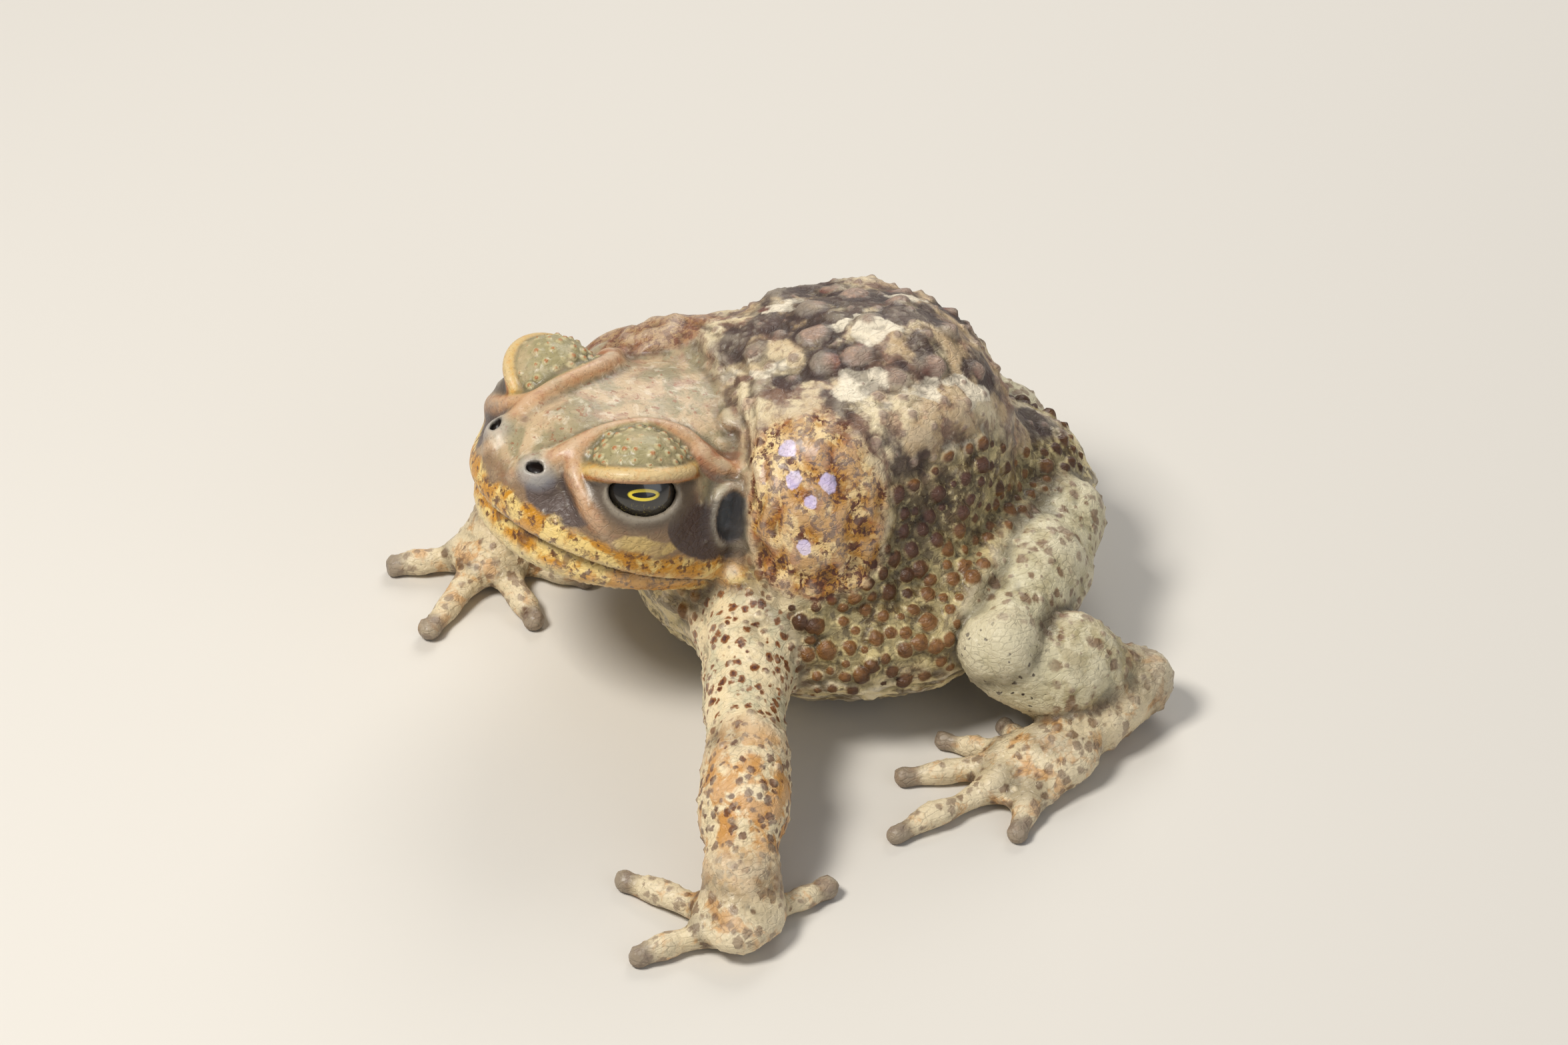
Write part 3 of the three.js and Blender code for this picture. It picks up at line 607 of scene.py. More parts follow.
def regionMasks(mesh):
    p, normals = toToad(mesh), verticesOf(mesh, "normal")
    distances, q, near = partDistances(p)
    names = list(distances)
    stack = np.stack([distances[n] for n in names])
    weights = np.exp(-(stack - stack.min(0)) / regions["blend"])
    weights /= weights.sum(0)
    part = dict(zip(names, weights))
    ranked = np.sort(stack, axis=0)
    offFloor = step(p[:, 2], 0.3, 2.2)
    masks = {name: part[name] for name in ("head", "gland", "thigh", "shank", "upperArm", "forearm")}
    masks["hand"] = part["hand"] + part["finger"]
    masks["foot"] = part["foot"] + part["toe"] + part["tarsus"] + part["web"]
    # painted shade: darkening where two parts of the body meet
    masks["crease"] = np.exp(-np.square((ranked[1] - ranked[0]) / 1.3)) * step(1.8 - ranked[1], 0, 1.2)
    for name, values in headMasks(q, near, normals).items():
        masks[name] = values * step(part["head"], 0.2, 0.6) if name != "lipHeight" else values
    across = np.degrees(np.arctan2(np.abs(p[:, 0]), p[:, 2] - trunkAxis)) + 6 * lumps(p, 26.0, 4)
    trunk = part["trunk"]
    masks["back"] = trunk * (1 - step(across, *regions["back"]))
    masks["belly"] = trunk * step(across, *regions["belly"])
    masks["flank"] = np.clip(trunk - masks["back"] - masks["belly"], 0, 1)
    # band of the upper flank under the ridge, where painted shade goes
    masks["upperFlank"] = masks["flank"] * (1 - step(across, *regions["upperFlank"])) * step(24 - p[:, 1], -12, 6)
    masks["neck"] = (trunk + part["gland"]) * (1 - step(distances["head"], 2.5, 9)) * step(p[:, 2], 20, 30)
    uneven = np.stack([1.6 * lumps(p, 9.0, 7.0), 2.0 * lumps(p, 11.0, 8.0), 0 * p[:, 2]], -1)
    drift = (1 - part["gland"])[:, None] * uneven
    for name, places in patches.items():
        spread = np.array((1, 1, 1) if name == "milk" else (1.35, 0.8, 1), np.float32)
        total = np.zeros(len(p), np.float32)
        for centre, reach, strength in places:
            away = np.sqrt(np.square((p + drift - single(centre)) * spread).sum(1))
            total = np.maximum(total, strength * (1 - step(away, reach * 0.3, reach * 1.5)))
        masks[name] = total * (part["gland"] if name == "milk" else trunk)
    masks["glandFront"] = part["gland"] * (1 - step(ellipsoid(near, (18.5, 3.5, 12.5), (7, 6, 6)), -1, 6))
    masks["farSide"] = step(-p[:, 0], 2, 10)
    big = np.full(len(p), 9.0, np.float32)
    for place, size, turn in wartPlaces:
        close = np.square(p - single(place)).sum(1) < 70
        if close.any():
            big[close] = np.minimum(big[close], ellipsoid(p[close], place, size * wartShape, turn))
    masks["bigWart"] = (1 - step(big, -0.1, 0.7)) * trunk
    # painted highlight on the up-facing tops of the big warts
    masks["wartTop"] = masks["bigWart"] * step(normals[:, 2], 0.8, 0.97)
    masks["wartHalo"] = (1 - step(big, 0.2, 3.0)) * trunk
    kneeAway = np.sqrt(np.square(foldSides(p) - np.array((43, 20, 15), np.float32)).sum(1))
    masks["knee"] = (part["thigh"] + part["shank"]) * (1 - step(kneeAway, 7, 13))
    tips = [corners[-1] for name, corners, *_ in limbParts if name in ("finger", "toe")]
    tipAway = np.min([np.square(p - single(tip)).sum(1) for tip in tips], axis=0) ** 0.5
    masks["tip"] = 1 - step(tipAway, 1.6, 3.6)
    flesh = part["thigh"] + part["shank"] + part["upperArm"] + part["forearm"] + part["tarsus"]
    masks["flankWarts"] = step(masks["flank"] + 0.3 * masks["belly"], 0.15, 0.55) * offFloor
    masks["backBumps"] = step(masks["back"] - masks["wartHalo"], 0.3, 0.8)
    masks["limbWarts"] = step(flesh, 0.3, 0.7) * (1 - masks["knee"]) * offFloor
    masks["fineGrains"] = np.clip(trunk * (1 - masks["bigWart"]) + 0.6 * part["hand"] + 0.6 * part["foot"]
        + masks["knee"] + step(-masks["lipHeight"], 0.1, 0.3), 0, 1) * offFloor
    masks["lidGrains"] = step(masks["lidTop"] - masks["lidBand"], 0.4, 0.9)
    masks["cheekDots"] = step(part["head"], 0.6, 0.9) * np.clip(masks["loreal"] + masks["earPatch"], 0, 1)
    masks["cheekDots"] *= 1 - np.clip(masks["drum"] + masks["pit"] + masks["lidLow"], 0, 1)
    for name, values in masks.items():
        writeMask(mesh, name, values)
    return p, normals, masks, distances


# Hollows and raised places from the mesh's curvature, for painted shade in hollows and a painted highlight on
# raised places
def markHollows(mesh, rounds):
    count = len(mesh.vertices)
    ends = np.empty(len(mesh.edges) * 2, np.int32)
    mesh.edges.foreach_get("vertices", ends)
    a, b = ends.reshape(-1, 2).T
    places = verticesOf(mesh).astype(np.float64)
    shared = np.bincount(a, minlength=count) + np.bincount(b, minlength=count)
    smooth = places.copy()
    for _ in range(rounds):
        smooth = np.stack([np.bincount(a, smooth[b, k], count) + np.bincount(b, smooth[a, k], count)
            for k in range(3)], -1) / shared[:, None]
    depth = ((smooth - places) * verticesOf(mesh, "normal")).sum(1) / mm
    writeMask(mesh, "hollow", step(depth, 0.015, 0.17))
    writeMask(mesh, "raised", step(-depth, 0.03, 0.22))


def foldSkin(mesh, p, normals, masks, distances):
    w = wrinkles
    soft = 1 - step(masks["head"], 0.2, 0.7)
    rise = soft * (w["lump"] * lumps(p, w["lumpSize"], 1.0) + w["small"] * lumps(p, w["smallSize"], 2.0))
    wave = distances["head"] * (2 * pi / w["neckWave"]) + 1.6 * lumps(p, 12.0, 3.0)
    rise += w["neck"] * masks["neck"] * np.sin(wave)
    sag = (p[:, 2] + 0.006 * np.square(p[:, 1] - 8)) * (2 * pi / w["bellyWave"]) + 2.0 * lumps(p, 15.0, 5.0)
    rise += w["belly"] * np.clip(masks["belly"] + 0.4 * masks["flank"], 0, 1) * np.sin(sag)
    rise += w["gland"] * masks["gland"] * lumps(p, w["glandSize"], 6.0)
    rise *= step(p[:, 2], 0.3, 2.5)
    mesh.vertices.foreach_set("co", (verticesOf(mesh) + normals * rise[:, None] * mm).astype(np.float32).ravel())
    mesh.update()


# Warts and tubercles, grown out of the skin around scattered points: the mask that says where, then
# spacing, radius and height in millimetres, sharpness and seed
wartLayers = {"flankCone": ("flankWarts", 2.2, 1.9, 1.25, 0.85, 3),
    "backBump": ("backBumps", 3.2, 1.5, 0.7, 1.0, 11),
    "limbSpike": ("limbWarts", 2.6, 1.05, 0.5, 1.3, 8),
    "grain": ("fineGrains", 1.3, 0.75, 0.2, 1.0, 5),
    "tubercle": ("lidGrains", 1.5, 0.95, 0.55, 1.0, 4),
    "cheekDot": ("cheekDots", 2.3, 0.62, 0.28, 1.0, 9)}


def wire(tree, kind, inputs=None, **settings):
    made = tree.nodes.new(kind)
    for key, value in settings.items():
        setattr(made, key, value)
    for key, value in (inputs or {}).items():
        if isinstance(value, bpy.types.NodeSocket):
            tree.links.new(value, made.inputs[key])
        else:
            made.inputs[key].default_value = value
    return made


def maths(tree, operation, a, b=0.0):
    return wire(tree, "ShaderNodeMath", {0: a, 1: b}, operation=operation).outputs[0]


def ramp(tree, value, low, high, start=0.0, end=1.0):
    return wire(tree, "ShaderNodeMapRange", {"Value": value, "From Min": low, "From Max": high, "To Min": start,
        "To Max": end}, interpolation_type="SMOOTHSTEP").outputs[0]


def times(tree, *values):
    result = values[0]
    for value in values[1:]:
        result = maths(tree, "MULTIPLY", result, value)
    return result


def vectorMaths(tree, operation, inputs, which=0):
    return wire(tree, "ShaderNodeVectorMath", inputs, operation=operation).outputs[which]


def addInput(tree, name, kind, value):
    socket = tree.interface.new_socket(name, in_out="INPUT", socket_type=kind)
    if value is not None:
        socket.default_value = value


def buildWartTree():
    tree = bpy.data.node_groups.new("warts on skin", "GeometryNodeTree")
    sockets = [("Skin", "NodeSocketGeometry", None), ("Spacing", "NodeSocketFloat", 0.003),
        ("Radius", "NodeSocketFloat", 0.0015), ("Height", "NodeSocketFloat", 0.0008),
        ("Sharpness", "NodeSocketFloat", 1.0), ("Seed", "NodeSocketInt", 1),
        ("Where", "NodeSocketString", ""), ("Mark", "NodeSocketString", "wart"),
        ("Material", "NodeSocketMaterial", None)]
    for socket in sockets:
        addInput(tree, *socket)
    tree.interface.new_socket("Skin", in_out="OUTPUT", socket_type="NodeSocketGeometry")
    given = tree.nodes.new("NodeGroupInput").outputs
    where = wire(tree, "GeometryNodeInputNamedAttribute", {"Name": given["Where"]},
        data_type="FLOAT").outputs["Attribute"]
    most = maths(tree, "DIVIDE", 3.0, times(tree, given["Spacing"], given["Spacing"]))
    scatter = wire(tree, "GeometryNodeDistributePointsOnFaces",
        {"Mesh": given["Skin"], "Distance Min": given["Spacing"], "Density Max": most,
            "Density Factor": where, "Seed": given["Seed"]}, distribute_method="POISSON")
    vary = wire(tree, "FunctionNodeRandomValue", {"Seed": given["Seed"]}, data_type="FLOAT")
    vary.inputs[2].default_value, vary.inputs[3].default_value = 0.4, 1.15
    sized = wire(tree, "GeometryNodeStoreNamedAttribute",
        {"Geometry": scatter.outputs["Points"], "Name": "wartSize", "Value": vary.outputs[1]},
        data_type="FLOAT", domain="POINT").outputs["Geometry"]
    place = wire(tree, "GeometryNodeInputPosition").outputs[0]
    nearest = wire(tree, "GeometryNodeSampleNearest", {"Geometry": sized}, domain="POINT").outputs["Index"]
    size = wire(tree, "GeometryNodeInputNamedAttribute", {"Name": "wartSize"},
        data_type="FLOAT").outputs["Attribute"]
    centre, size = [wire(tree, "GeometryNodeSampleIndex", {"Geometry": sized, "Value": value, "Index": nearest},
        data_type=kind).outputs["Value"] for value, kind in ((place, "FLOAT_VECTOR"), (size, "FLOAT"))]
    away = vectorMaths(tree, "DISTANCE", {0: place, 1: centre}, "Value")
    wobble = wire(tree, "ShaderNodeTexNoise", {"Scale": 700.0, "Detail": 1.0}).outputs[0]
    away = times(tree, away, maths(tree, "ADD", 0.75, times(tree, wobble, 0.5)))
    hump = ramp(tree, away, 0.0, times(tree, given["Radius"], size), 1.0, 0.0)
    rise = times(tree, maths(tree, "POWER", hump, given["Sharpness"]), given["Height"], size, where)
    normal = wire(tree, "GeometryNodeInputNormal").outputs[0]
    offset = vectorMaths(tree, "SCALE", {0: normal, "Scale": rise})
    marked = wire(tree, "GeometryNodeStoreNamedAttribute",
        {"Geometry": given["Skin"], "Name": given["Mark"], "Value": times(tree, hump, where)},
        data_type="FLOAT", domain="POINT").outputs["Geometry"]
    raised = wire(tree, "GeometryNodeSetPosition", {"Geometry": marked, "Offset": offset}).outputs[0]
    real = wire(tree, "GeometryNodeRealizeInstances", {"Geometry": raised}).outputs[0]
    painted = wire(tree, "GeometryNodeSetMaterial", {"Geometry": real, "Material": given["Material"]}).outputs[0]
    out = tree.nodes.new("NodeGroupOutput")
    tree.links.new(painted, out.inputs[0])
    return tree


def modifierInput(tree, name):
    return next(s.identifier for s in tree.interface.items_tree if s.name == name and s.in_out == "INPUT")


def growWarts(piece, tree, material):
    for mark, (where, spacing, radius, height, sharpness, seed) in wartLayers.items():
        modifier = piece.modifiers.new(mark, "NODES")
        modifier.node_group = tree
        for name, value in (("Spacing", spacing * mm), ("Radius", radius * mm), ("Height", height * mm),
                ("Sharpness", sharpness), ("Seed", seed), ("Where", where), ("Mark", mark), ("Material", material)):
            modifier[modifierInput(tree, name)] = value


def bakeModifiers(piece):
    graph = bpy.context.evaluated_depsgraph_get()
    done = piece.evaluated_get(graph)
    mesh = bpy.data.meshes.new_from_object(done, preserve_all_data_layers=True, depsgraph=graph)
    piece.modifiers.clear()
    old = piece.data
    piece.data = mesh
    bpy.data.meshes.remove(old)
    mesh.name = piece.name


# Finishes: tones are sRGB in hexadecimal
def tone(code):
    parts = [int(code[i:i + 2], 16) / 255 for i in (0, 2, 4)]
    return tuple(c / 12.92 if c <= 0.04045 else ((c + 0.055) / 1.055) ** 2.4 for c in parts) + (1.0,)


def blendColour(tree, under, over, mask):
    return wire(tree, "ShaderNodeMix", {0: mask, 6: under, 7: over}, data_type="RGBA", clamp_factor=True).outputs[2]


def noise(tree, vector, scale, detail=3.0, roughness=0.55):
    return wire(tree, "ShaderNodeTexNoise", {"Vector": vector, "Scale": scale, "Detail": detail,
        "Roughness": roughness}).outputs[0]


def newMaterial(name):
    material = bpy.data.materials.new(name)
    material.use_nodes = True
    material.node_tree.nodes.clear()
    return material, material.node_tree


def shineUp(tree, inputs):
    surface = wire(tree, "ShaderNodeBsdfPrincipled", inputs).outputs[0]
    wire(tree, "ShaderNodeOutputMaterial", {"Surface": surface})


def shaderGroup(name, inputs, outputs):
    tree = bpy.data.node_groups.new(name, "ShaderNodeTree")
    for label, value in inputs:
        addInput(tree, label, "NodeSocketVector" if value is None else "NodeSocketFloat", value)
    for label in outputs:
        tree.interface.new_socket(label, in_out="OUTPUT", socket_type="NodeSocketFloat")
    return tree, tree.nodes.new("NodeGroupInput").outputs, tree.nodes.new("NodeGroupOutput").inputs


def warpVector(tree, vector, scale, amount):
    wobble = wire(tree, "ShaderNodeTexNoise", {"Vector": vector, "Scale": scale, "Detail": 2.0}).outputs["Color"]
    centred = vectorMaths(tree, "SUBTRACT", {0: wobble, 1: (0.5, 0.5, 0.5)})
    shift = vectorMaths(tree, "SCALE", {0: centred, "Scale": maths(tree, "DIVIDE", amount, scale)})
    return vectorMaths(tree, "ADD", {0: vector, 1: shift})


def buildSpotGroup():
    tree, given, out = shaderGroup("skin spots", [("Vector", None), ("Scale", 300.0), ("Size", 0.3), ("Soft", 0.12),
        ("Share", 0.7)], ["Spot", "Core"])
    warped = warpVector(tree, given["Vector"], times(tree, given["Scale"], 1.6), 1.2)
    cells = wire(tree, "ShaderNodeTexVoronoi", {"Vector": warped, "Scale": given["Scale"], "Randomness": 0.9})
    random3 = wire(tree, "ShaderNodeSeparateColor", {0: cells.outputs["Color"]}).outputs
    size = times(tree, given["Size"], maths(tree, "ADD", 0.55, times(tree, random3[0], 0.9)))
    kept = maths(tree, "LESS_THAN", random3[1], given["Share"])
    for index, factor in ((0, 1.0), (1, 0.45)):
        edge = times(tree, size, factor)
        outer = maths(tree, "ADD", edge, given["Soft"])
        fade = wire(tree, "ShaderNodeMapRange", {"Value": cells.outputs["Distance"], "From Min": edge,
            "From Max": outer, "To Min": 1.0, "To Max": 0.0}).outputs[0]
        tree.links.new(times(tree, fade, kept), out[index])
    return tree


def buildMarbleGroup():
    tree, given, out = shaderGroup("skin marbling",
        [("Vector", None), ("Scale", 250.0), ("Warp", 1.0), ("Low", 0.45), ("High", 0.6)], ["Patch"])
    warped = warpVector(tree, given["Vector"], times(tree, given["Scale"], 0.6), given["Warp"])
    cloud = noise(tree, warped, given["Scale"], 4.0, 0.6)
    tree.links.new(ramp(tree, cloud, given["Low"], given["High"]), out[0])
    return tree


# Tones of the skin, and how coarse its cloud, pore and crack patterns are
skinTones = {
    "back": "bda27c", "backPale": "dccba6", "backBrown": "806452", "backDark": "42312d", "cream": "e9ddc4",
    "backPink": "b07f66", "flank": "d0bd86", "flankOlive": "80693a", "flankDark": "4e3b28", "belly": "e2cf98",
    "bellyDark": "5b4829", "wart": "82592f", "wartDark": "4f3119", "wartPurple": "55382c", "bigWart": "6b443a",
    "bigWartTop": "a2775f", "gland": "b67f2b", "glandPale": "efd295", "glandSpeck": "5a2608",
    "glandFar": "86593f", "milk": "cfc2e6", "head": "c4aa85", "headPink": "9a6f5a", "headOlive": "8a8260",
    "rust": "8f4a1e", "crest": "bd8d60", "cheek": "8d7255", "loreal": "5f5049", "earPatch": "4c3c37",
    "nose": "83868f", "pit": "120c0a", "drum": "2f363c", "drumRim": "6c685c", "lip": "c98b1e",
    "lipPale": "eacb7e", "lipSpeck": "5e300c", "jaw": "dcc58a", "lid": "b4a87c", "lidWart": "a8622a",
    "lidDark": "958a62", "lidBand": "cbaa68", "lidEdge": "a4561e", "lidLow": "5f5346", "mouth": "241808",
    "leg": "cdc3a0", "legSpot": "6b4526", "legDot": "2c201a", "shank": "a99b72", "arm": "e8d5ac",
    "armSpot": "8a5528", "armCore": "512112", "forearm": "c8904a", "foot": "dac8a2", "tip": "4e3022",
    # the next two tones are painted shade: the first for joins between parts and fine cracks, the second for
    # hollows, and it is also the tone of small dark specks
    "crease": "3c2c1c", "soot": "24170f"}
skinGrain = {"broad": 70.0, "middle": 260.0, "fine": 900.0, "tiny": 2200.0, "pores": 1150.0, "cracks": 900.0,
    "relief": 0.65, "reliefDepth": 0.00035, "coat": 0.2, "coatRoughness": 0.22, "specular": 0.45}


def buildSkinMaterial(spotGroup, marbleGroup):
    material, tree = newMaterial("toad skin")
    place = wire(tree, "ShaderNodeTexCoord").outputs["Object"]
    areas = {}

    def area(name):
        if name not in areas:
            areas[name] = wire(tree, "ShaderNodeAttribute", attribute_name=name).outputs["Fac"]
        return areas[name]

    def paint(under, over, *amounts):
        under, over = [tone(skinTones[c]) if isinstance(c, str) else c for c in (under, over)]
        return blendColour(tree, under, over, times(tree, *[area(a) if isinstance(a, str) else a for a in amounts]))

    def layers(colour, *coats):
        for coat in coats:
            colour = paint(colour, *coat)
        return colour

    def stretched(turn=(0, 0, 0), scale=(1, 1, 1)):
        return wire(tree, "ShaderNodeMapping", {"Vector": place, "Rotation": turn, "Scale": scale}).outputs[0]

    def grouped(group, vector, **values):
        made = wire(tree, "ShaderNodeGroup", node_tree=group)
        tree.links.new(vector, made.inputs["Vector"])
        for key, value in values.items():
            made.inputs[key.capitalize()].default_value = value
        return made.outputs

    def marble(scale, low, high, vector=place, warp=1.0):
        return grouped(marbleGroup, vector, scale=scale, low=low, high=high, warp=warp)["Patch"]

    def fade(value, low, high, start=0.0, end=1.0):
        return ramp(tree, area(value) if isinstance(value, str) else value, low, high, start, end)

    def rough(name, low, high, amount=0.3):
        return fade(maths(tree, "ADD", area(name), times(tree, sway, amount)), low, high)

    broad = noise(tree, place, skinGrain["broad"], 4.0)
    middle = noise(tree, place, skinGrain["middle"], 4.0)
    fine = noise(tree, place, skinGrain["fine"], 3.0)
    tiny = noise(tree, place, skinGrain["tiny"], 2.0)
    sway = maths(tree, "SUBTRACT", middle, 0.5)

    # back
    colour = layers(
        "back", ("backPale", fade(broad, 0.42, 0.6)),
        ("backBrown", marble(170.0, 0.48, 0.62)),
        ("backPink", fade(middle, 0.52, 0.66), 0.55),
        ("backBrown", marble(520.0, 0.52, 0.64), 0.5),
        ("backDark", rough("dark", 0.3, 0.75, 1.5), 0.9),
        ("backDark", rough("wartHalo", 0.45, 0.9, 1.0), 0.6),
        ("cream", rough("pale", 0.5, 0.78, 1.7), 0.85),
        ("bigWart", fade("backBump", 0.25, 0.7), 0.75))

    # flank and belly
    flank = layers(
        "flank", ("flankOlive", marble(240.0, 0.44, 0.6)),
        # painted shade on the upper flank under the ridge
        ("flankDark", rough("upperFlank", 0.3, 0.9, 0.9), 0.75),
        ("flankDark", marble(480.0, 0.5, 0.6), 0.65),
        ("belly", fade(fine, 0.54, 0.66), 0.6))
    colour = paint(colour, flank, "flank")
    wavy = stretched((0.0, 0.0, 0.0), (1.0, 0.42, 1.5))
    belly = layers(
        "belly", ("bellyDark", marble(230.0, 0.46, 0.56, wavy, 1.6), 0.92),
        ("cream", marble(420.0, 0.5, 0.64, wavy), 0.5))
    colour = paint(colour, belly, "belly")

    # limbs
    legSpots = grouped(spotGroup, place, scale=420.0, size=0.27, soft=0.16, share=0.9)
    armSpots = grouped(spotGroup, place, scale=590.0, size=0.3, soft=0.14, share=0.9)
    footSpots = grouped(spotGroup, place, scale=560.0, size=0.34, soft=0.18, share=0.6)
    dots = grouped(spotGroup, place, scale=620.0, size=0.13, soft=0.08, share=0.7)["Spot"]
    thigh = layers(
        "leg", ("shank", fade(middle, 0.42, 0.66), 0.7),
        ("legSpot", legSpots["Spot"], 0.8))
    colour = paint(colour, thigh, "thigh")
    shank = layers(
        "shank", ("leg", marble(230.0, 0.42, 0.62)),
        ("legSpot", legSpots["Spot"], 0.85))
    colour = layers(
        colour, (shank, area("shank")),
        (paint("leg", "legDot", dots), "knee"))
    arm = layers(
        "arm", ("leg", fade(middle, 0.45, 0.65)),
        ("armSpot", armSpots["Spot"]))
    colour = paint(colour, paint(arm, "armCore", armSpots["Core"]), "upperArm")
    fore = paint("forearm", "arm", marble(260.0, 0.44, 0.58))
    colour = paint(colour, paint(fore, "armCore", armSpots["Spot"], 0.85), "forearm")
    feet = layers(
        "foot", ("forearm", marble(260.0, 0.5, 0.64), 0.8),
        ("legSpot", footSpots["Spot"], 0.75))
    colour = layers(
        colour, (feet, maths(tree, "ADD", area("hand"), area("foot"))),
        ("tip", "tip", 0.85))

    # warts
    cone = layers(
        "wart", ("wartDark", fade(broad, 0.42, 0.6)),
        # cones purple-brown on the upper flank: painted shade, as on the flank around them
        ("wartPurple", rough("upperFlank", 0.2, 0.7)))
    colour = layers(
        colour, (cone, fade("flankCone", 0.1, 0.42)),
        ("wartDark", fade("flankCone", 0.75, 0.98), 0.6),
        ("legSpot", fade("limbSpike", 0.3, 0.8), 0.8))
    big = layers(
        "bigWart", ("wartPurple", fade(middle, 0.45, 0.6)),
        # painted highlight on the tops of the big warts
        ("bigWartTop", "wartTop", fade(fine, 0.45, 0.6, 0.15, 0.75)))
    colour = layers(
        colour, (big, fade("bigWart", 0.3, 0.8)),
        # painted shade in the creases where parts meet
        ("crease", "crease", 0.45))

    # head
    top = layers(
        "head", ("headPink", marble(200.0, 0.48, 0.66), 0.7),
        ("headOlive", marble(120.0, 0.44, 0.6), 0.8),
        ("cream", marble(430.0, 0.52, 0.66), 0.4),
        ("rust", fade(fine, 0.6, 0.68), 0.6))
    cheek = layers(
        "cheek", ("head", marble(220.0, 0.5, 0.66), 0.5),
        ("rust", marble(300.0, 0.5, 0.7), 0.35),
        ("loreal", rough("loreal", 0.3, 0.7)),
        ("lipPale", rough("underEye", 0.6, 0.95, 1.7), 0.6),
        ("earPatch", rough("earPatch", 0.35, 0.6)),
        ("pit", fade("cheekDot", 0.35, 0.8), 0.45))
    skull = layers(
        cheek, (top, area("crown")),
        ("crest", "crest", fade(middle, 0.2, 0.6, 0.3, 0.95)),
        ("rust", "crest", marble(520.0, 0.52, 0.64), 0.5),
        ("rust", rough("browStreak", 0.4, 0.8), fade(middle, 0.4, 0.6), 0.6))
    lip = layers(
        "lip", ("lipPale", marble(190.0, 0.47, 0.58)),
        ("lipSpeck", fade(fine, 0.53, 0.64), 0.9),
        ("lipSpeck", marble(330.0, 0.56, 0.66), 0.7))
    band = maths(tree, "ADD", area("lipHeight"), times(tree, sway, 0.5))
    skull = paint(skull, lip, fade(band, 0.52, 0.36))
    jaw = layers(
        "jaw", ("lip", marble(220.0, 0.46, 0.6), 0.5),
        (lip, fade("lipHeight", -0.5, -0.3)),
        ("lipSpeck", fade(fine, 0.58, 0.68), 0.6))
    skull = layers(
        skull, (jaw, fade("lipHeight", -0.1, -0.28)),
        ("cheek", "earFold", 0.6),
        ("cream", "cornerFold", 0.9),
        ("nose", "nose", 0.75),
        # painted shade: the nostril pit painted near black
        ("pit", "pit"),
        ("lidLow", "lidLow"))
    lidPaint = layers(
        "lid", ("lidDark", fade("tubercle", 0.3, 0.05), 0.8),
        ("lidWart", fade("tubercle", 0.45, 0.85), 0.85))
    skull = layers(
        skull, (paint(lidPaint, "head", fade(middle, 0.5, 0.7), 0.5), "lidTop"),
        (paint("lidBand", "lip", fade(fine, 0.5, 0.66), 0.5), "lidBand"),
        ("lidEdge", "lidEdge", 0.8),
        ("drumRim", "drumRim", 0.5),
        (paint("drum", "nose", fade(middle, 0.5, 0.7), 0.35), "drum"),
        # painted shade: near-black line along the mouth slit
        ("mouth", "mouthLine", 0.9))
    colour = paint(colour, skull, "head")

    # parotoid glands
    gland = layers(
        "gland", ("glandPale", marble(230.0, 0.5, 0.62), 0.75),
        ("glandPale", rough("glandFront", 0.25, 0.8, 1.0), 0.9),
        ("backPale", rough("gland", 0.95, 0.5, 1.0), 0.6),
        ("rust", marble(300.0, 0.5, 0.62), 0.7),
        ("glandSpeck", marble(760.0, 0.5, 0.58), fade(middle, 0.36, 0.52, 0.25, 1.0)),
        ("glandSpeck", fade(fine, 0.56, 0.62), 0.85),
        ("glandFar", "farSide", 0.7),
        ("milk", rough("milk", 0.4, 0.6, 0.9), 0.85))
    colour = paint(colour, gland, rough("gland", 0.25, 0.75, 1.6))

    # painted shade darkens the hollows and a painted highlight pales the high places; fine cracks get dark lines as
    # painted shade, and small dark specks lie everywhere
    colour = paint(colour, "soot", "hollow", 0.5)
    plain = times(tree, fade("flankCone", 0.3, 0.1), fade("tubercle", 0.3, 0.1))
    # painted highlight: raised places paler, except on wart cones and lid tubercles
    colour = paint(colour, "cream", "raised", plain, 0.22)
    colour = paint(colour, "soot", fade(tiny, 0.58, 0.72), 0.28)

    pores = wire(tree, "ShaderNodeTexVoronoi", {"Vector": place, "Scale": skinGrain["pores"]}).outputs["Distance"]
    creased = warpVector(tree, stretched((0.3, 0.2, 0.5), (1.0, 0.55, 1.0)), 500.0, 0.8)
    cracks = wire(tree, "ShaderNodeTexVoronoi", {"Vector": creased, "Scale": skinGrain["cracks"]},
        feature="DISTANCE_TO_EDGE").outputs["Distance"]
    smoothArea = maths(tree, "MAXIMUM", area("lidLow"), maths(tree, "MAXIMUM", area("drum"), area("nose")))
    smoothArea = maths(tree, "MAXIMUM", smoothArea, times(tree, area("crown"), 0.6))
    bare = maths(tree, "SUBTRACT", 1.0, maths(tree, "MAXIMUM", area("crown"), area("lidLow")))
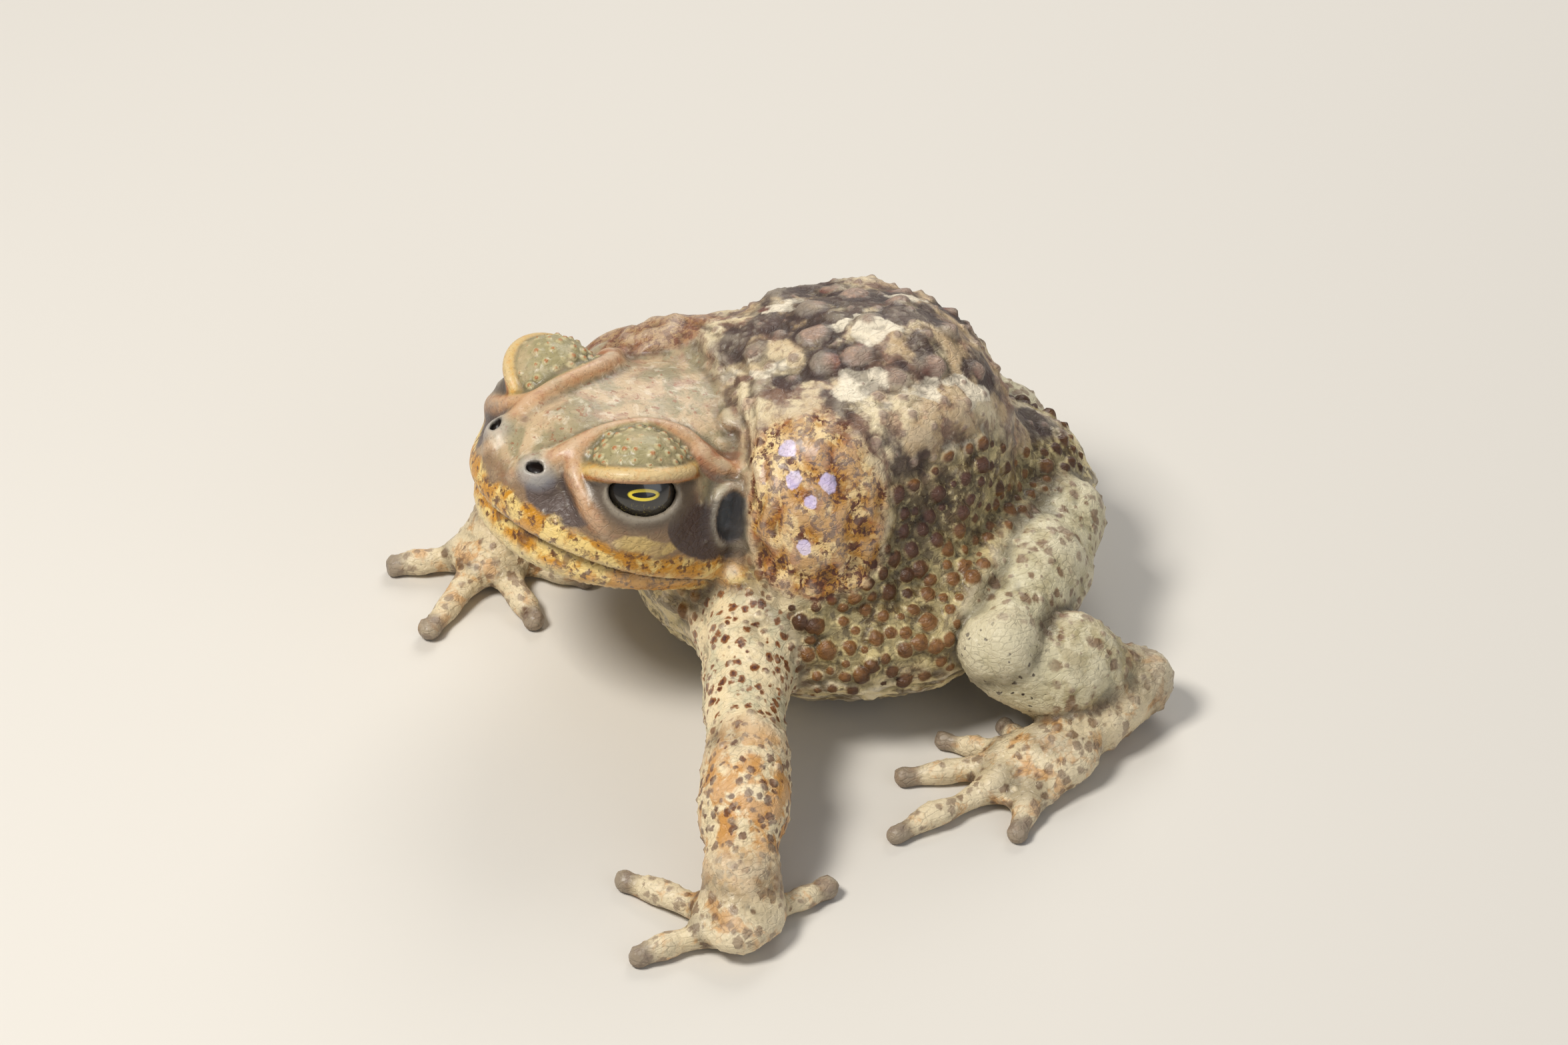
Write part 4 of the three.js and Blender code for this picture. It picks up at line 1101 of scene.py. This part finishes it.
    # painted shade: dark lines along the fine cracks that the bump also cuts as grooves
    colour = paint(colour, "crease", fade(cracks, 0.07, 0.01), bare, fade(middle, 0.4, 0.65, 0.0, 0.3))
    relief = maths(tree, "ADD", times(tree, pores, 0.5), times(tree, fine, 0.8))
    relief = maths(tree, "SUBTRACT", relief, fade(cracks, 0.12, 0.02, 0.0, 0.22))
    relief = times(tree, relief, maths(tree, "SUBTRACT", 1.0, times(tree, smoothArea, 0.8)))
    damp = maths(tree, "ADD", times(tree, maths(tree, "MAXIMUM", area("head"), area("gland")), 0.7), 0.3)
    bump = wire(tree, "ShaderNodeBump", {"Height": relief, "Strength": skinGrain["relief"],
        "Distance": skinGrain["reliefDepth"]}).outputs[0]
    shineUp(tree, {"Base Color": colour, "Roughness": fade(middle, 0.3, 0.7, 0.38, 0.6), "Normal": bump,
        "Coat Weight": times(tree, damp, skinGrain["coat"]), "Coat Roughness": skinGrain["coatRoughness"],
        "Specular IOR Level": skinGrain["specular"]})
    return material


skinMesh = {"triangles": 196000, "headWeight": 0.05, "headKept": 0.00002, "hollowRounds": 6, "inset": 2e-5}


def thinMesh(piece):
    mesh = piece.data
    values = np.empty(len(mesh.vertices), np.float32)
    mesh.attributes["head"].data.foreach_get("value", values)
    group = piece.vertex_groups.new(name="body")
    group.add(np.flatnonzero(values < 0.5).tolist(), 1.0, "REPLACE")
    group.add(np.flatnonzero(values >= 0.5).tolist(), skinMesh["headWeight"], "REPLACE")
    triangles = sum(len(f.vertices) - 2 for f in mesh.polygons)
    thin = piece.modifiers.new("fewer faces", "DECIMATE")
    thin.ratio = min(1.0, skinMesh["triangles"] / triangles)
    thin.use_collapse_triangulate = True
    thin.vertex_group = group.name
    thin.vertex_group_factor = skinMesh["headKept"]
    bakeModifiers(piece)
    piece.vertex_groups.clear()


def buildSkin():
    volume = buildVolume()
    print("forms melted together", volume.shape)
    skin = addObject("toadSkin", meshFromVolume(volume))
    print("skin meshed:", len(skin.data.vertices), "vertices")
    foldSkin(skin.data, *regionMasks(skin.data))
    material = buildSkinMaterial(buildSpotGroup(), buildMarbleGroup())
    skin.data.materials.append(material)
    growWarts(skin, buildWartTree(), material)
    bakeModifiers(skin)
    print("warts grown")
    thinMesh(skin)
    places = verticesOf(skin.data)
    low, high = np.array(cadBox[0]) + skinMesh["inset"], np.array(cadBox[1]) - skinMesh["inset"]
    low[2] = 0.0
    skin.data.vertices.foreach_set("co", np.clip(places, low, high).astype(np.float32).ravel())
    regionMasks(skin.data)
    markHollows(skin.data, skinMesh["hollowRounds"])
    skin.data.polygons.foreach_set("use_smooth", [True] * len(skin.data.polygons))
    skin.data.update()
    print("skin finished:", len(skin.data.polygons), "triangles")
    return skin


skin = buildSkin()

# Eyes
iris = {"pupil": (1.8, 0.45), "ring": (2.3, 0.92), "roll": -6.8, "segments": 96, "inset": 0.02,
    "dark": "16110a", "fleck": "8f8340", "gold": "e6cf3e", "black": "050403"}


def headPoint(point):
    return (headTurn @ np.array(point, float) + headPlace + originShift) * mm


def buildEyeMaterial(side):
    material, tree = newMaterial("eye left" if side > 0 else "eye right")
    look = headTurn @ gaze(side)
    level = np.cross((0, 0, 1), look)
    level /= np.linalg.norm(level)
    level = level * cos(side * radians(iris["roll"])) + np.cross(look, level) * sin(side * radians(iris["roll"]))
    up = np.cross(look, level)
    axes = Matrix(np.column_stack([look, level, up]).tolist())
    place = wire(tree, "ShaderNodeTexCoord").outputs["Object"]
    centre = Vector(headPoint(sided(eye["centre"], side)))
    local = wire(tree, "ShaderNodeMapping", {"Vector": place, "Location": centre, "Rotation": axes.to_euler("XYZ")},
        vector_type="TEXTURE").outputs[0]
    split = wire(tree, "ShaderNodeSeparateXYZ", {0: local}).outputs

    def oval(wide, tall):
        a = maths(tree, "POWER", maths(tree, "ABSOLUTE", maths(tree, "DIVIDE", split["Y"], wide * mm)), 2.0)
        b = maths(tree, "POWER", maths(tree, "ABSOLUTE", maths(tree, "DIVIDE", split["Z"], tall * mm)), 2.0)
        return maths(tree, "SQRT", maths(tree, "ADD", a, b))

    flecks = noise(tree, place, 2600.0, 3.0, 0.7)
    lowHalf = ramp(tree, split["Z"], -0.5 * mm, -3.0 * mm, 0.0, 0.75)
    colour = blendColour(tree, tone(iris["dark"]), tone(iris["fleck"]),
        times(tree, ramp(tree, flecks, 0.57, 0.68), lowHalf))
    colour = blendColour(tree, colour, tone(iris["gold"]), ramp(tree, oval(*iris["ring"]), 1.12, 0.95))
    colour = blendColour(tree, colour, tone(iris["black"]), ramp(tree, oval(*iris["pupil"]), 1.08, 0.96))
    edge = maths(tree, "DIVIDE", split["X"], eye["radius"] * mm)
    colour = blendColour(tree, colour, tone(iris["black"]), ramp(tree, edge, 0.62, 0.5))
    shineUp(tree, {"Base Color": colour, "Roughness": 0.25, "Coat Weight": 1.0, "Coat Roughness": 0.02,
        "Specular IOR Level": 0.6})
    return material


def buildEye(side):
    name = "eyeLeft" if side > 0 else "eyeRight"
    ball = bmesh.new()
    bmesh.ops.create_uvsphere(ball, u_segments=iris["segments"], v_segments=iris["segments"] // 2,
        radius=(eye["radius"] - iris["inset"]) * mm,
        matrix=Matrix.Translation(Vector(headPoint(sided(eye["centre"], side)))))
    mesh = bpy.data.meshes.new(name)
    ball.to_mesh(mesh)
    ball.free()
    mesh.polygons.foreach_set("use_smooth", [True] * len(mesh.polygons))
    mesh.materials.append(buildEyeMaterial(side))
    return addObject(name, mesh)


eyes = {side: buildEye(side) for side in (1, -1)}
print("eyes made")

# Floor and light
studio = {"floor": "d6d1c8", "reach": 3.0, "drop": 0.00005, "world": 0.22, "lamps": [
    ("key", (0.1, -0.4, 0.68), 0.22, 5.6, (1.0, 0.97, 0.92)),
    ("fill", (0.65, 0.3, 0.35), 0.6, 1.2, (0.93, 0.96, 1.0)),
    ("back", (-0.5, 0.3, 0.5), 0.4, 2.4, (1.0, 0.98, 0.95))]}


def lamp(name, place, size, watts, tint):
    light = bpy.data.lights.new(name, "AREA")
    light.size, light.energy, light.color = size, watts, tint
    holder = addObject(name, light)
    holder.location = place
    holder.rotation_euler = (Vector((0.0, 0.0, 0.02)) - Vector(place)).to_track_quat("-Z", "Y").to_euler()


def buildStudio():
    mesh = bpy.data.meshes.new("floor")
    corners = [(x * studio["reach"], y * studio["reach"], 0) for x, y in ((-1, -1), (1, -1), (1, 1), (-1, 1))]
    mesh.from_pydata(corners, [], [(0, 1, 2, 3)])
    floor = addObject("floor", mesh)
    floor.location.z = -studio["drop"]
    material, tree = newMaterial("pale floor")
    shineUp(tree, {"Base Color": tone(studio["floor"]), "Roughness": 0.8})
    mesh.materials.append(material)
    for values in studio["lamps"]:
        lamp(*values)
    world = bpy.data.worlds.new("studio")
    world.use_nodes = True
    sky = world.node_tree.nodes["Background"].inputs
    sky["Color"].default_value, sky["Strength"].default_value = (0.9, 0.93, 1.0, 1.0), studio["world"]
    bpy.context.scene.world = world
    return floor


floor = buildStudio()
print("studio set")

# What stands for what
fleshNodes = ["head", "lower_jaw", "torso"]
for sideName in ("left", "right"):
    fleshNodes += [f"{part}_{sideName}" for part in ("tympanum", "eyelid", "parotoid", "upper_arm", "forearm",
        "hand", "thigh", "shank", "tarsus", "foot")]
    fleshNodes += [f"finger_{sideName}_{i}" for i in range(1, 5)] + [f"toe_{sideName}_{i}" for i in range(1, 6)]

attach(skin, "root")
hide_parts(*fleshNodes)
for side, sideName in ((1, "left"), (-1, "right")):
    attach(eyes[side], "root")
    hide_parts(f"eye_{sideName}")
